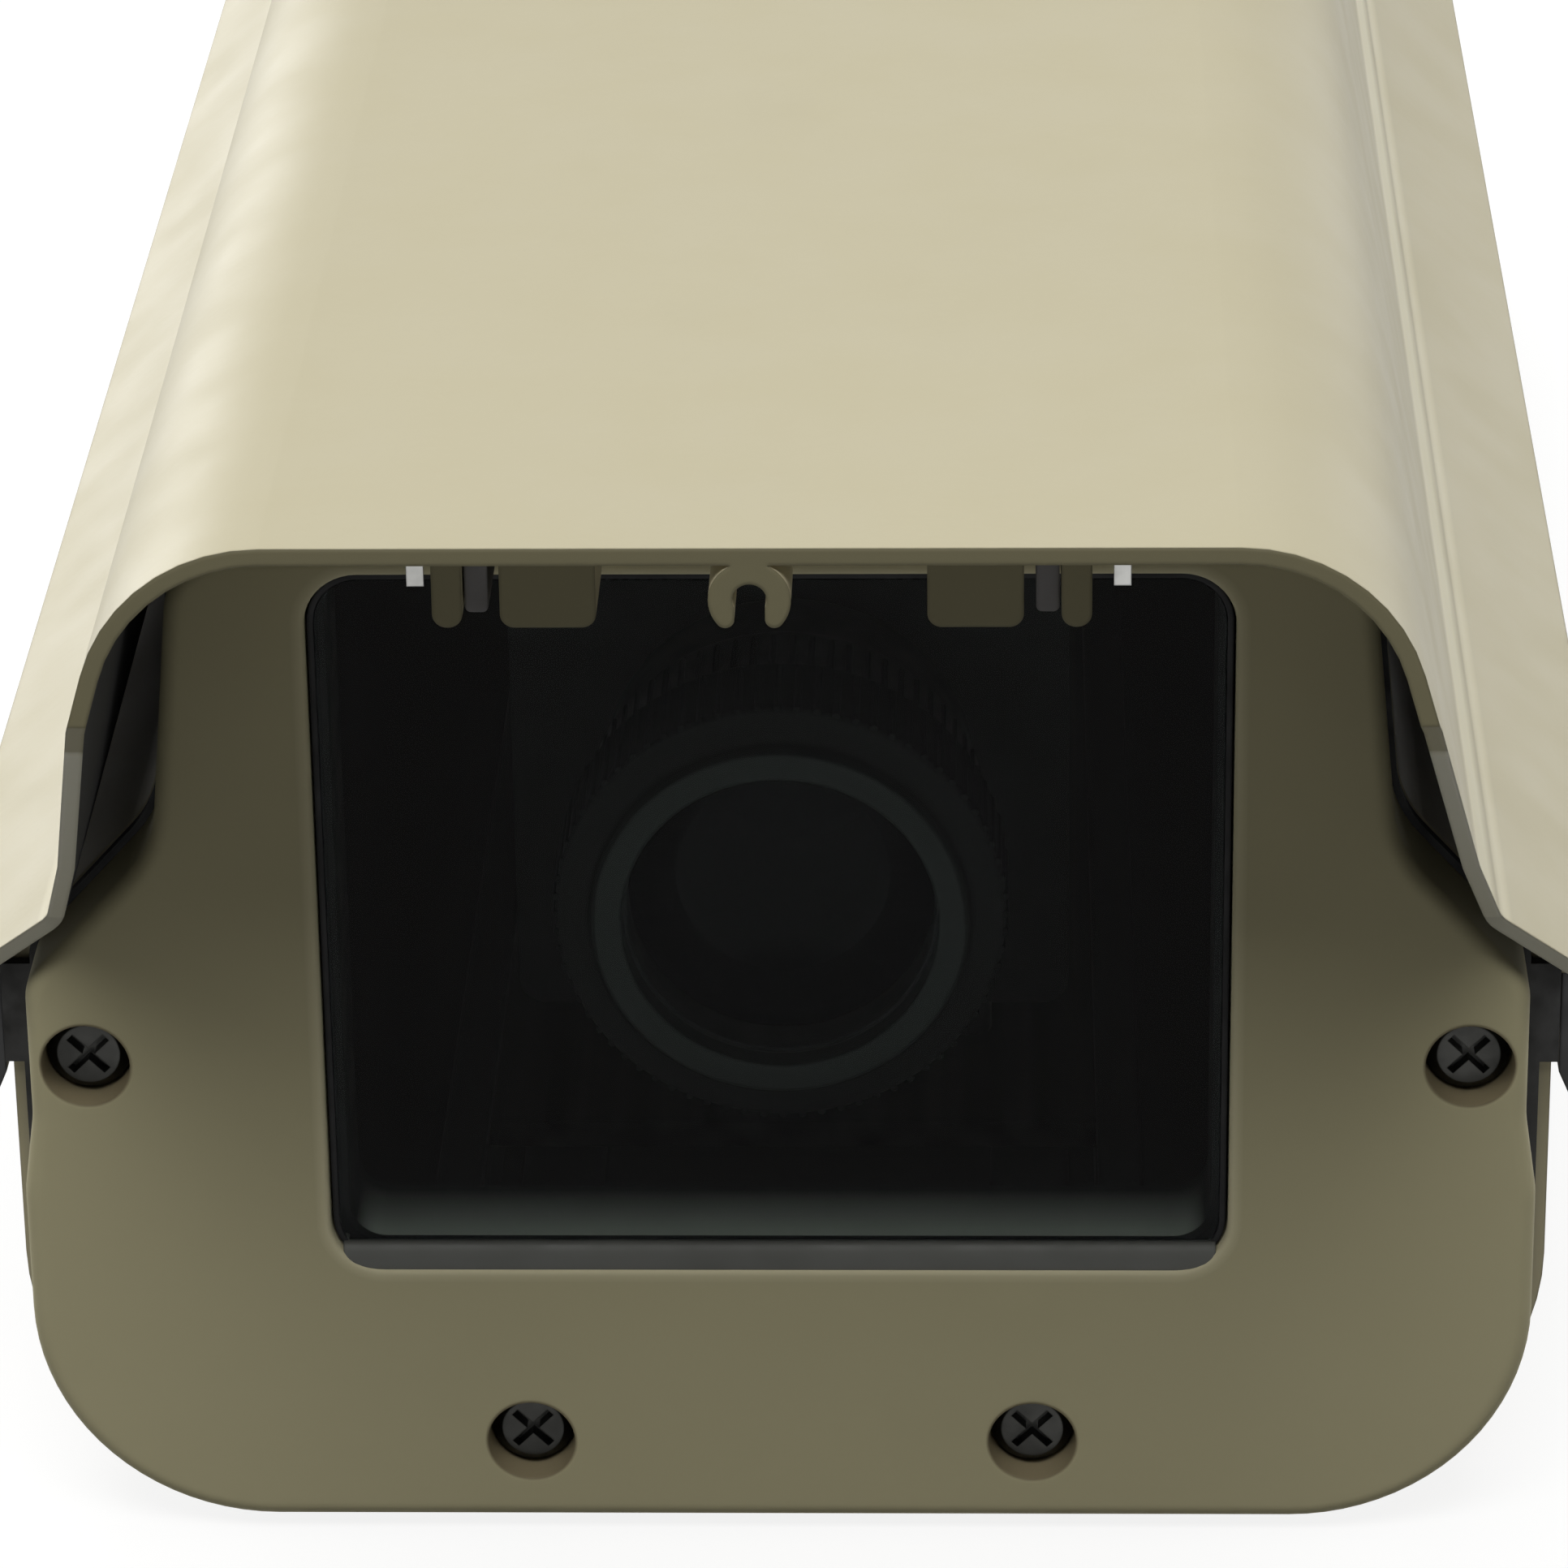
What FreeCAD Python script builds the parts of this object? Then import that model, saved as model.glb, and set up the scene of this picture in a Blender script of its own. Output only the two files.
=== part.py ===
import FreeCAD, Part
import math
import os
from FreeCAD import Vector

# Outdoor camera housing: an extruded trough with a cast window plate at the front and a cast
# gland plate at the rear, closed by a side-hinged cover that carries a sunshield.
# X runs across, Y from the front window to the rear, Z up. Lengths are millimetres.
# The origin lies in the base face, at the middle of the four mounting holes.

doc = FreeCAD.newDocument("CameraHousing")
sheet = doc.addObject("Spreadsheet::Sheet", "sizes")

# Driving dimensions
SIZES = [
    # Overall arrangement
    ("mount_to_front", 150.0), ("housing_length", 310.0), ("hood_front_overhang", 41.85),
    ("hood_rear_overhang", 6.0), ("slip", 0.3), ("hair", 0.05),
    # End plates
    ("plate_thickness", 9.0), ("plate_lift", 1.2), ("plate_inset", 1.7), ("plate_corner", 20.3),
    ("side_step", 1.0), ("side_step_height", 33.0), ("side_step_rise", 7.0), ("side_step_round", 9.0),
    ("shoulder_height", 52.5), ("shoulder_round", 4.0),
    ("neck_in", 12.4), ("neck_height", 65.1), ("neck_round", 10.0),
    ("crown_in", 14.9), ("plate_height", 92.0), ("crown_round", 6.0), ("plate_edge", 1.5),
    ("gasket_thickness", 1.2), ("gasket_proud", 0.6), ("gasket_width", 1.8), ("ear_gap", 0.2),
    # Window
    ("window_half_width", 38.0), ("window_base", 25.7), ("window_tall", 64.2), ("window_round", 4.5),
    ("window_edge", 0.4), ("frame_wall", 1.2), ("frame_depth", 12.0), ("frame_recess", 1.0),
    ("frame_flange", 4.0), ("frame_top_lip", 0.25), ("flange_thickness", 1.2),
    ("frame_gap", 0.2), ("glass_thickness", 3.0), ("rebate", 0.7), ("glass_gap", 0.1),
    ("clip_x", 28.7), ("clip_width", 1.4), ("clip_sheet", 0.4),
    # Plate screws
    ("side_screw_in", 7.6), ("side_screw_z", 45.2), ("base_screw_x", 21.5), ("base_screw_z", 9.0),
    ("screw_radius", 2.0), ("screw_head", 3.5), ("screw_head_tall", 2.4), ("screw_length", 16.0),
    ("recess_radius", 3.75), ("recess_depth", 4.6), ("thread_slip", 0.05), ("port_radius", 3.6),
    # Trough
    ("body_half_width", 65.6), ("body_corner", 22.0), ("body_wall", 3.2), ("wall_top", 47.2),
    ("floor_pad_half", 30.0), ("floor_pad_tall", 6.0), ("rail_outer", 31.5), ("rail_inner", 27.5),
    ("rail_tall", 19.0), ("groove_floor", 13.95), ("seal_tall", 1.2), ("seal_width", 2.2),
    ("mount_hole_radius", 2.5), ("mount_across", 30.0), ("mount_along", 80.0),
    # Cover
    ("cover_offset", 0.7), ("cover_wall", 1.6), ("skirt_gap", 0.7), ("tip_depth", 2.5), ("tip_inner_drop", 1.7),
    ("tip_outer_drop", 5.4),
    # Hood
    ("hood_wall", 1.4), ("hood_rise", 16.05), ("hood_top_in", 16.3), ("hood_corner", 14.5),
    ("crease_in", 11.83), ("crease_drop", 15.45), ("belly_in", 2.7), ("belly_up", 9.7),
    ("knee_in", 4.0), ("knee_rise", 8.5), ("knee_round", 2.5), ("wing_reach", 11.5), ("wing_drop", 10.0),
    ("rake_start", 95.5), ("rake_slope", 1.1), ("wing_rake_slope", 0.5), ("rail_setback", 25.1),
    ("block_inner", 13.05), ("block_outer", 20.64), ("rib_inner", 23.6), ("rib_outer", 26.0),
    ("rib_round", 1.15), ("strip_gap", 0.15), ("strip_width", 1.85), ("strip_lift", 0.9),
    ("port_outer", 3.12), ("port_bore", 1.3), ("port_slot", 2.3), ("port_lip", 0.7),
    ("hood_screw_front", 60.0), ("hood_screw_back", 60.0), ("hood_screw_grip", 8.0),
    # Hinges
    ("hinge_height", 38.0), ("knuckle_radius", 2.6), ("hinge_gap", 0.4), ("pin_radius", 1.25),
    ("pin_slip", 0.05), ("leaf_sheet", 1.2), ("leaf_drop", 20.0), ("leaf_rise", 8.0), ("leaf_length", 40.0),
    ("hinge_front", 50.0), ("hinge_back", 50.0), ("rivet_radius", 1.5), ("rivet_head", 2.6),
    # Latches
    ("latch_height", 27.0), ("latch_front", 95.0), ("latch_back", 95.0), ("latch_sheet", 1.2),
    ("latch_standoff", 2.6), ("lever_half", 7.0), ("lever_eye", 2.2), ("lever_drop", 14.0), ("lever_sheet", 1.7),
    ("ear_sheet", 1.2), ("ear_radius", 2.4), ("latch_pin_radius", 1.1), ("wire_radius", 0.8),
    ("bail_out", 0.5), ("bail_down", 4.4), ("bail_rise", 43.0), ("keeper_base", 42.0), ("keeper_tall", 5.0),
    ("keeper_thick", 2.6), ("keeper_half", 6.0), ("latch_gap", 0.4),
    # Camera, lens and sled
    ("lens_height", 51.2), ("lens_front", 15.0), ("focus_radius", 19.3), ("focus_length", 12.0),
    ("zoom_radius", 17.6), ("zoom_length", 10.0), ("ring_gap", 0.5), ("barrel_radius", 15.0),
    ("lens_tail", 12.0), ("ring_bore_slip", 0.08), ("front_glass_radius", 13.2), ("mount_radius", 14.0),
    ("ring_lip_radius", 15.9), ("ring_step", 1.4), ("ring_sheet", 2.6), ("glass_depth", 8.0), ("glass_bulge", 1.6),
    ("lens_throat", 9.0), ("tail_step", 1.5), ("tail_flange", 3.0),
    ("camera_half", 25.0), ("camera_length", 62.0), ("camera_round", 2.5),
    ("sled_half", 29.2), ("sled_sheet", 2.5), ("sled_slip", 0.05), ("sled_front", 45.0), ("sled_to_board", 27.0),
    ("slot_x", 12.0), ("slot_wide", 10.0), ("slot_long", 25.0), ("slot_in", 10.0),
    ("stand_half", 18.0), ("knob_place", 150.0), ("knob_radius", 8.0), ("knob_tall", 9.0), ("stud_radius", 2.5),
    # Rear fittings
    ("gland_x", 26.0), ("gland_z", 30.0), ("gland_thread", 7.6), ("gland_flat", 9.5), ("gland_collar", 5.0),
    ("gland_nose", 6.0), ("gland_bore", 5.0), ("cap_radius", 9.2), ("cap_length", 14.0), ("cap_wall", 2.0),
    ("seal_bore", 3.5), ("seal_radius", 5.5), ("locknut_tall", 4.0),
    ("board_half", 25.0), ("board_length", 56.0), ("board_back", 32.0), ("board_height", 14.0),
    ("board_sheet", 1.6), ("spacer_x", 12.0), ("spacer_radius", 2.5), ("spacer_in", 6.0),
    ("terminal_tall", 11.0), ("terminal_half", 20.0), ("terminal_depth", 10.0), ("terminal_in", 4.0),
    ("terminal_pitch", 5.0), ("terminal_bore", 1.5), ("terminal_sunk", 3.0),
]
for row, (word, value) in enumerate(SIZES, start=1):
    sheet.set("A%d" % row, word)
    sheet.set("B%d" % row, str(value))
    sheet.setAlias("B%d" % row, word)
doc.recompute()


class Sizes:
    """Reads a driving dimension by its name."""

    def __getattr__(self, word):
        return float(sheet.get(word))


S = Sizes()
pieces = []


# Outlines made of straight runs and round corners

def rounded(corners):
    """Lines and arcs of a closed outline; each corner is (across, up, radius)."""
    joints = []
    for i, (u, v, radius) in enumerate(corners):
        here = Vector(u, v, 0)
        before = Vector(corners[i - 1][0], corners[i - 1][1], 0) - here
        after_corner = corners[(i + 1) % len(corners)]
        after = Vector(after_corner[0], after_corner[1], 0) - here
        if radius <= 0:
            joints.append((here, None, here))
            continue
        half = before.getAngle(after) / 2
        run = radius / math.tan(half)
        start = here + before.normalize() * run
        end = here + after.normalize() * run
        inward = (before + after).normalize()
        middle = here + inward * (radius / math.sin(half) - radius)
        joints.append((start, middle, end))
    shapes = []
    for i, (start, middle, end) in enumerate(joints):
        if middle is not None:
            shapes.append(Part.Arc(start, middle, end))
        following = joints[(i + 1) % len(joints)][0]
        if end.distanceToPoint(following) > 1e-6:
            shapes.append(Part.LineSegment(end, following))
    return shapes


def parallel(path, distance, closed=False):
    """The corners of a path moved sideways; a positive distance is to the right of travel."""
    count = len(path)
    lines = []
    for i in range(count if closed else count - 1):
        u0, v0, _ = path[i]
        u1, v1, _ = path[(i + 1) % count]
        run = math.hypot(u1 - u0, v1 - v0)
        du, dv = (u1 - u0) / run, (v1 - v0) / run
        lines.append((u0 + dv * distance, v0 - du * distance, du, dv))
    moved = []
    for i, (u, v, radius) in enumerate(path):
        if not closed and i in (0, count - 1):
            line = lines[0] if i == 0 else lines[-1]
            moved.append((u + line[3] * distance, v - line[2] * distance, 0))
            continue
        a, b = lines[i - 1], lines[i % len(lines)]
        turn = a[2] * b[3] - a[3] * b[2]
        step = ((b[0] - a[0]) * b[3] - (b[1] - a[1]) * b[2]) / turn
        bend = radius + distance if turn > 0 else radius - distance
        moved.append((a[0] + a[2] * step, a[1] + a[3] * step, max(bend, 0) if radius else 0))
    return moved


def band(path, wall):
    """The closed outline of a sheet that follows a path, with its wall to the right of travel."""
    return path + parallel(path, wall)[::-1]


def both_sides(right):
    """A closed outline from its right-hand corners, listed upwards."""
    return right + [(-u, v, radius) for u, v, radius in right[::-1]]


def box_outline(u0, v0, u1, v1, radius=0.0):
    return [(u0, v0, radius), (u1, v0, radius), (u1, v1, radius), (u0, v1, radius)]


def circle(u, v, radius):
    return [Part.Circle(Vector(u, v, 0), Vector(0, 0, 1), radius)]


# Feature builders

def new_body(label, x="0", y="0", z="0"):
    """A body whose local origin sits at x, y, z; y is counted from the window plate's face."""
    body = doc.addObject("PartDesign::Body", label)
    body.Label = label
    body.setExpression("Placement.Base.x", x)
    body.setExpression("Placement.Base.y", "%s - sizes.mount_to_front" % y)
    body.setExpression("Placement.Base.z", z)
    pieces.append(body)
    return body


def sketch_on(body, role, loops, shift="0"):
    """A sketch on one of the body's own planes; shift moves it along the plane's normal."""
    plane = [f for f in body.Origin.OriginFeatures if f.Role == role][0]
    sketch = body.newObject("Sketcher::SketchObject", body.Label + "_sketch")
    sketch.AttachmentSupport = [(plane, "")]
    sketch.MapMode = "FlatFace"
    sketch.setExpression("AttachmentOffset.Base.z", shift)
    for loop in loops:
        sketch.addGeometry(loop, False)
    return sketch


def pad_along(body, loops, start, length):
    """Extrudes cross-sections rearwards from start."""
    pad = body.newObject("PartDesign::Pad", body.Label + "_pad")
    pad.Profile = sketch_on(body, "XZ_Plane", loops, "-(%s)" % start)
    pad.Reversed = True
    pad.setExpression("Length", length)
    doc.recompute()
    return pad


def pocket_along(body, loops, start, length):
    """Cuts cross-sections rearwards from start."""
    before = body.Shape.Volume
    pocket = body.newObject("PartDesign::Pocket", body.Label + "_pocket")
    pocket.Profile = sketch_on(body, "XZ_Plane", loops, "-(%s)" % start)
    pocket.setExpression("Length", length)
    doc.recompute()
    if body.Shape.Volume >= before - 1e-6:
        raise RuntimeError("nothing cut in " + body.Label)
    return pocket


def pocket_up(body, loops, start, length):
    """Cuts plan outlines upwards from start."""
    before = body.Shape.Volume
    pocket = body.newObject("PartDesign::Pocket", body.Label + "_bore")
    pocket.Profile = sketch_on(body, "XY_Plane", loops, start)
    pocket.Reversed = True
    pocket.setExpression("Length", length)
    doc.recompute()
    if body.Shape.Volume >= before - 1e-6:
        raise RuntimeError("nothing cut in " + body.Label)
    return pocket


def pad_up(body, loops, start, length):
    pad = body.newObject("PartDesign::Pad", body.Label + "_pad")
    pad.Profile = sketch_on(body, "XY_Plane", loops, start)
    pad.setExpression("Length", length)
    doc.recompute()
    return pad


def cross_pocket(body, loops, half):
    """Cuts side-view outlines to both sides of the middle."""
    before = body.Shape.Volume
    pocket = body.newObject("PartDesign::Pocket", body.Label + "_cross")
    pocket.Profile = sketch_on(body, "YZ_Plane", loops)
    pocket.SideType = "Symmetric"
    pocket.setExpression("Length", "2 * (%s)" % half)
    doc.recompute()
    if body.Shape.Volume >= before - 1e-6:
        raise RuntimeError("nothing cut in " + body.Label)
    return pocket


def turn_along(body, loop):
    """Revolves a half section (along, radius) about the body's own Y axis."""
    turned = body.newObject("PartDesign::Revolution", body.Label + "_turned")
    sketch = sketch_on(body, "YZ_Plane", [rounded(loop)])
    turned.Profile = sketch
    turned.ReferenceAxis = (sketch, ["H_Axis"])
    turned.Angle = 360
    doc.recompute()
    return turned


def turn_upright(body, loop):
    """Revolves a half section (radius, height) about the body's own Z axis."""
    turned = body.newObject("PartDesign::Revolution", body.Label + "_turned")
    sketch = sketch_on(body, "XZ_Plane", [rounded(loop)])
    turned.Profile = sketch
    turned.ReferenceAxis = (sketch, ["V_Axis"])
    turned.Angle = 360
    doc.recompute()
    return turned


def round_edges(body, radius, chosen):
    """Rounds the edges of the body that chosen(edge) picks."""
    base = body.Tip
    names = ["Edge%d" % (i + 1) for i, edge in enumerate(base.Shape.Edges) if chosen(edge)]
    fillet = body.newObject("PartDesign::Fillet", body.Label + "_round")
    fillet.Base = (base, names)
    fillet.setExpression("Radius", radius)
    doc.recompute()
    return fillet


def group(label, solids):
    """Several like solids kept as one piece, placed in the model frame."""
    feature = doc.addObject("Part::Feature", label)
    feature.Label = label
    feature.Shape = Part.makeCompound(solids) if len(solids) > 1 else solids[0]
    feature.Placement = FreeCAD.Placement(Vector(0, -S.mount_to_front, 0), FreeCAD.Rotation())
    pieces.append(feature)
    return feature


def turned_solid(profile, place, axis):
    """A solid of revolution from (along, radius) corners, set at place and pointing along axis."""
    points = [Vector(radius, 0, along) for along, radius in profile]
    face = Part.Face(Part.makePolygon(points + points[:1]))
    solid = face.revolve(Vector(0, 0, 0), Vector(0, 0, 1), 360)
    solid.Placement = FreeCAD.Placement(place, FreeCAD.Rotation(Vector(0, 0, 1), axis))
    return solid


def slab(x0, x1, y0, y1, z0, z1):
    return Part.makeBox(x1 - x0, y1 - y0, z1 - z0, Vector(x0, y0, z0))


# Outlines shared by the plates, the cover and the hood

def plate_half():
    return S.body_half_width - S.plate_inset


def side_screw_x():
    return S.body_half_width - S.side_screw_in


def knee_half():
    return plate_half() - S.knee_in


def plate_side():
    """Right-hand corners of the end plates, from the base up."""
    upper = plate_half() - S.side_step
    return [
        (plate_half(), S.plate_lift, S.plate_corner),
        (plate_half(), S.side_step_height, S.side_step_round),
        (upper, S.side_step_height + S.side_step_rise, S.side_step_round),
        (upper, S.shoulder_height, S.shoulder_round),
        (plate_half() - S.neck_in, S.neck_height, S.neck_round),
        (plate_half() - S.crown_in, S.plate_height, S.crown_round),
    ]


def plate_loop(inset):
    """The closed plate outline, drawn in by inset."""
    return parallel(both_sides(plate_side()), -inset, closed=True)


def gasket_side():
    """Right-hand corners of the gasket's centre loop; its ear seals the joint of wall and skirt."""
    ear = S.body_half_width + S.skirt_gap - S.ear_gap - S.gasket_proud
    high, low = ledge_height() - S.gasket_proud, skirt_bottom() + S.gasket_proud
    return [
        (plate_half(), S.plate_lift, S.plate_corner),
        (plate_half(), low, 0),
        (ear, low, 0),
        (ear, high, 0),
        (plate_half() - S.side_step, high, 0),
        (plate_half() - S.side_step, S.shoulder_height, S.shoulder_round),
        (plate_half() - S.neck_in, S.neck_height, S.neck_round),
        (plate_half() - S.crown_in, S.plate_height, S.crown_round),
    ]


def ledge_height():
    """Top of the cover's ledge, which rests on the wall seals."""
    return S.wall_top + S.seal_tall + S.slip + S.cover_wall


def skirt_bottom():
    return S.hinge_height + S.knuckle_radius + S.hinge_gap


def cover_path():
    """The cover's outer line from the left skirt over the top to the right skirt."""
    upper = plate_half() - S.side_step
    slope = parallel([
        (0, S.plate_height, 0),
        (plate_half() - S.crown_in, S.plate_height, S.crown_round),
        (plate_half() - S.neck_in, S.neck_height, S.neck_round),
        (upper, S.shoulder_height, 0),
    ], -S.cover_offset)
    crown, neck, shoulder = slope[1], slope[2], slope[3]
    skirt = keeper_face()
    ledge = ledge_height()
    toe = shoulder[0] + (ledge - shoulder[1]) * (shoulder[0] - neck[0]) / (shoulder[1] - neck[1])
    bottom = skirt_bottom()
    right = [crown, neck, (toe, ledge, 0), (skirt, ledge, S.cover_wall + 0.2), (skirt, bottom, 0)]
    return [(-u, v, radius) for u, v, radius in right[::-1]] + right


def hood_top():
    return S.plate_height + S.cover_offset + S.hood_rise + S.hood_wall


def hood_path():
    """The hood's outer line from the left wing tip over the top to the right wing tip."""
    top = hood_top()
    knee = S.shoulder_height + S.knee_rise
    right = [
        (plate_half() - S.hood_top_in, top, S.hood_corner),
        (plate_half() - S.crease_in, top - S.crease_drop, 0),
        (knee_half() - S.belly_in, knee + S.belly_up, 0),
        (knee_half(), knee, S.knee_round),
        (knee_half() + S.wing_reach, knee - S.wing_drop, 0),
    ]
    return [(-u, v, radius) for u, v, radius in right[::-1]] + right


FRONT_SEAT = "sizes.plate_thickness + sizes.gasket_thickness"
BODY_LENGTH = "sizes.housing_length - 2 * (%s)" % FRONT_SEAT
REAR_SEAT = "sizes.housing_length - sizes.plate_thickness"
COVER_START = FRONT_SEAT + " + sizes.slip"
COVER_LENGTH = BODY_LENGTH + " - 2 * sizes.slip"


def from_rear(distance):
    """The y of something measured forwards from the rear plate's face."""
    return S.housing_length - distance


def board_front():
    return from_rear(S.board_back + S.board_length)


def screw_places():
    return [(side * x, z) for side in (-1, 1)
            for x, z in ((side_screw_x(), S.side_screw_z), (S.base_screw_x, S.base_screw_z))]


# Lower body: extruded trough with screw ports and sled rails

def make_lower_body():
    body = new_body("lower_body")
    inner = S.body_half_width - S.body_wall
    inner_round = S.body_corner - S.body_wall
    trough = [
        (S.body_half_width, 0, S.body_corner), (S.body_half_width, S.wall_top, 0),
        (inner, S.wall_top, 0), (inner, S.body_wall, inner_round),
        (-inner, S.body_wall, inner_round), (-inner, S.wall_top, 0),
        (-S.body_half_width, S.wall_top, 0), (-S.body_half_width, 0, S.body_corner),
    ]
    pad_along(body, [rounded(trough)], FRONT_SEAT, BODY_LENGTH)
    overlap = S.body_wall / 2
    floor = box_outline(-S.floor_pad_half, overlap, S.floor_pad_half, S.floor_pad_tall)
    pad_along(body, [rounded(floor)], FRONT_SEAT, BODY_LENGTH)
    ports = []
    reach = S.port_radius
    for side in (-1, 1):
        x, z = side * side_screw_x(), S.side_screw_z
        wall = side * (inner + overlap)
        lobe = [(wall, z - reach, 0), (wall, min(z + reach, S.wall_top), 0),
                (x - side * reach, min(z + reach, S.wall_top), reach / 2), (x - side * reach, z - reach, reach - 0.1)]
        ports.append(rounded(lobe if side > 0 else lobe[::-1]))
        x, z = side * S.base_screw_x, S.base_screw_z
        ports.append(rounded([(x - reach, overlap, 0), (x + reach, overlap, 0),
                              (x + reach, z + reach, reach - 0.1), (x - reach, z + reach, reach - 0.1)]))
    pad_along(body, ports, FRONT_SEAT, BODY_LENGTH)
    groove_top = S.groove_floor + S.sled_sheet + 8 * S.sled_slip
    groove_side = S.sled_half + 6 * S.sled_slip
    rails = []
    for side in (-1, 1):
        rail = [(S.rail_outer, overlap, 0), (S.rail_outer, S.rail_tall, 0.5), (S.rail_inner, S.rail_tall, 0.5),
                (S.rail_inner, groove_top, 0), (groove_side, groove_top, 0), (groove_side, S.groove_floor, 0),
                (S.rail_inner, S.groove_floor, 0), (S.rail_inner, overlap, 0)]
        rails.append(rounded([(side * u, v, radius) for u, v, radius in rail]))
    pad_along(body, rails, FRONT_SEAT, BODY_LENGTH)
    bores = [circle(x, z, S.screw_radius + S.thread_slip) for x, z in screw_places()]
    pocket_along(body, bores, FRONT_SEAT, BODY_LENGTH)
    holes = [circle(i * S.mount_across / 2, S.mount_to_front + j * S.mount_along / 2, S.mount_hole_radius)
             for i in (-1, 1) for j in (-1, 1)]
    pocket_up(body, holes, "0", "sizes.floor_pad_tall")
    low, _ = hinge_rivet_heights()
    rows = [y for start in (S.hinge_front, from_rear(S.hinge_back + S.leaf_length)) for y in leaf_rivet_rows(start)]
    rivet_bores(body, -1, [(y, low) for y in rows], S.body_half_width, S.body_wall)
    latches = [(y, z) for y in (S.latch_front, from_rear(S.latch_back)) for z in latch_rivet_heights()]
    rivet_bores(body, 1, latches, S.body_half_width, S.body_wall)


# End plates: castings with the same outline, four counterbored screw holes

def make_end_plate(label, start, face):
    """face is the y of the outer face, whose edge is rounded."""
    body = new_body(label)
    pad_along(body, [rounded(plate_loop(0))], start, "sizes.plate_thickness")

    def on_outer_face(edge):
        box = edge.BoundBox
        return abs(box.YMin - face) < 0.01 and abs(box.YMax - face) < 0.01

    round_edges(body, "sizes.plate_edge", on_outer_face)
    clearance = [circle(x, z, S.screw_radius + S.slip) for x, z in screw_places()]
    pocket_along(body, clearance, start, "sizes.plate_thickness")
    recesses = [circle(x, z, S.recess_radius) for x, z in screw_places()]
    front = label == "front_plate"
    deep = "0" if front else "sizes.housing_length - sizes.recess_depth"
    pocket_along(body, recesses, deep, "sizes.recess_depth")
    return body


def window_outline(inset, top_inset=None):
    """The window opening drawn in by inset, with its own inset at the top."""
    top = S.window_base + S.window_tall - (inset if top_inset is None else top_inset)
    half = S.window_half_width - inset
    return box_outline(-half, S.window_base + inset, half, top, max(S.window_round - inset, 0.5))


def make_front_plate():
    body = make_end_plate("front_plate", "0", 0.0)
    pocket_along(body, [rounded(window_outline(0))], "0", "sizes.plate_thickness")
    left, right = -S.window_half_width - 0.1, S.window_half_width + 0.1

    def on_window_rim(edge):
        box = edge.BoundBox
        flat = abs(box.YMin) < 0.01 and abs(box.YMax) < 0.01
        inside = box.XMin > left and box.XMax < right and box.ZMin > S.window_base - 0.1
        return flat and inside and box.ZMax < S.window_base + S.window_tall + 0.1

    round_edges(body, "sizes.window_edge", on_window_rim)


def make_rear_plate():
    body = make_end_plate("rear_plate", REAR_SEAT, S.housing_length)
    holes = [circle(side * S.gland_x, S.gland_z, S.gland_thread + S.slip / 2) for side in (-1, 1)]
    pocket_along(body, holes, REAR_SEAT, "sizes.plate_thickness")


def make_gasket(label, start):
    body = new_body(label)
    outer = parallel(both_sides(gasket_side()), S.gasket_proud, closed=True)
    loops = [rounded(outer), rounded(plate_loop(S.gasket_width - S.gasket_proud))]
    pad_along(body, loops, start, "sizes.gasket_thickness")


# Window: black moulded frame, toughened pane, spring clips

def make_window_frame():
    body = new_body("window_frame")
    outer = rounded(window_outline(S.frame_gap))
    inner = rounded(window_outline(S.frame_gap + S.frame_wall))
    pad_along(body, [outer, inner], "sizes.frame_recess", "sizes.frame_depth")
    flange = rounded(window_outline(-S.frame_flange, -S.frame_top_lip))
    pad_along(body, [flange, inner], "sizes.plate_thickness", "sizes.flange_thickness")
    rebate = rounded(window_outline(S.frame_gap + S.frame_wall - S.rebate))
    pocket_along(body, [rebate], "sizes.frame_recess", "sizes.glass_thickness + sizes.sled_slip")


def make_window_glass():
    body = new_body("window_glass")
    pane = rounded(window_outline(S.frame_gap + S.frame_wall - S.rebate + S.glass_gap))
    pad_along(body, [pane], "sizes.frame_recess", "sizes.glass_thickness")


def make_window_clips():
    top = S.plate_height
    low = S.window_base + S.window_tall - 2 * S.window_edge
    half = S.clip_width / 2
    gap = S.hair
    clips = []
    for side in (-1, 1):
        x = side * S.clip_x
        leg = slab(x - half, x + half, -gap - S.clip_sheet, -gap, low, top + gap + S.clip_sheet)
        bridge = slab(x - half, x + half, -gap - S.clip_sheet, S.plate_thickness - gap, top + gap,
                      top + gap + S.clip_sheet)
        clip = leg.fuse(bridge).removeSplitter()
        front = [e for e in clip.Edges if e.BoundBox.YMax < -gap and e.BoundBox.XLength > half]
        clips.append(clip.makeFillet(S.clip_sheet * 0.6, front))
    group("window_clips", clips)


# Screws of the end plates: pan heads with a cross recess

def pan_screw(place, axis, length, radius, head, tall, cross=True):
    """A screw whose head's underside lies at place and whose shank runs along axis."""
    crown = tall * 0.35
    profile = [(-tall, 0), (-tall, head - crown), (-tall + crown, head), (0, head), (0, radius),
               (length - radius / 2, radius), (length, radius / 2), (length, 0)]
    screw = turned_solid(profile, Vector(0, 0, 0), Vector(0, 0, 1))
    if cross:
        blade = radius * 0.36
        for angle in (45, 135):
            slot = slab(-head * 0.62, head * 0.62, -blade / 2, blade / 2, -tall - 0.1, -tall * 0.45)
            slot.rotate(Vector(0, 0, 0), Vector(0, 0, 1), angle)
            screw = screw.cut(slot)
    screw.Placement = FreeCAD.Placement(place, FreeCAD.Rotation(Vector(0, 0, 1), axis))
    return screw


def make_plate_screws(label, seat, direction):
    axis = Vector(0, direction, 0)
    group(label, [pan_screw(Vector(x, seat, z), axis, S.screw_length, S.screw_radius, S.screw_head, S.screw_head_tall)
                  for x, z in screw_places()])


# Cover: one extruded skin with skirts that lap over the trough

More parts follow.
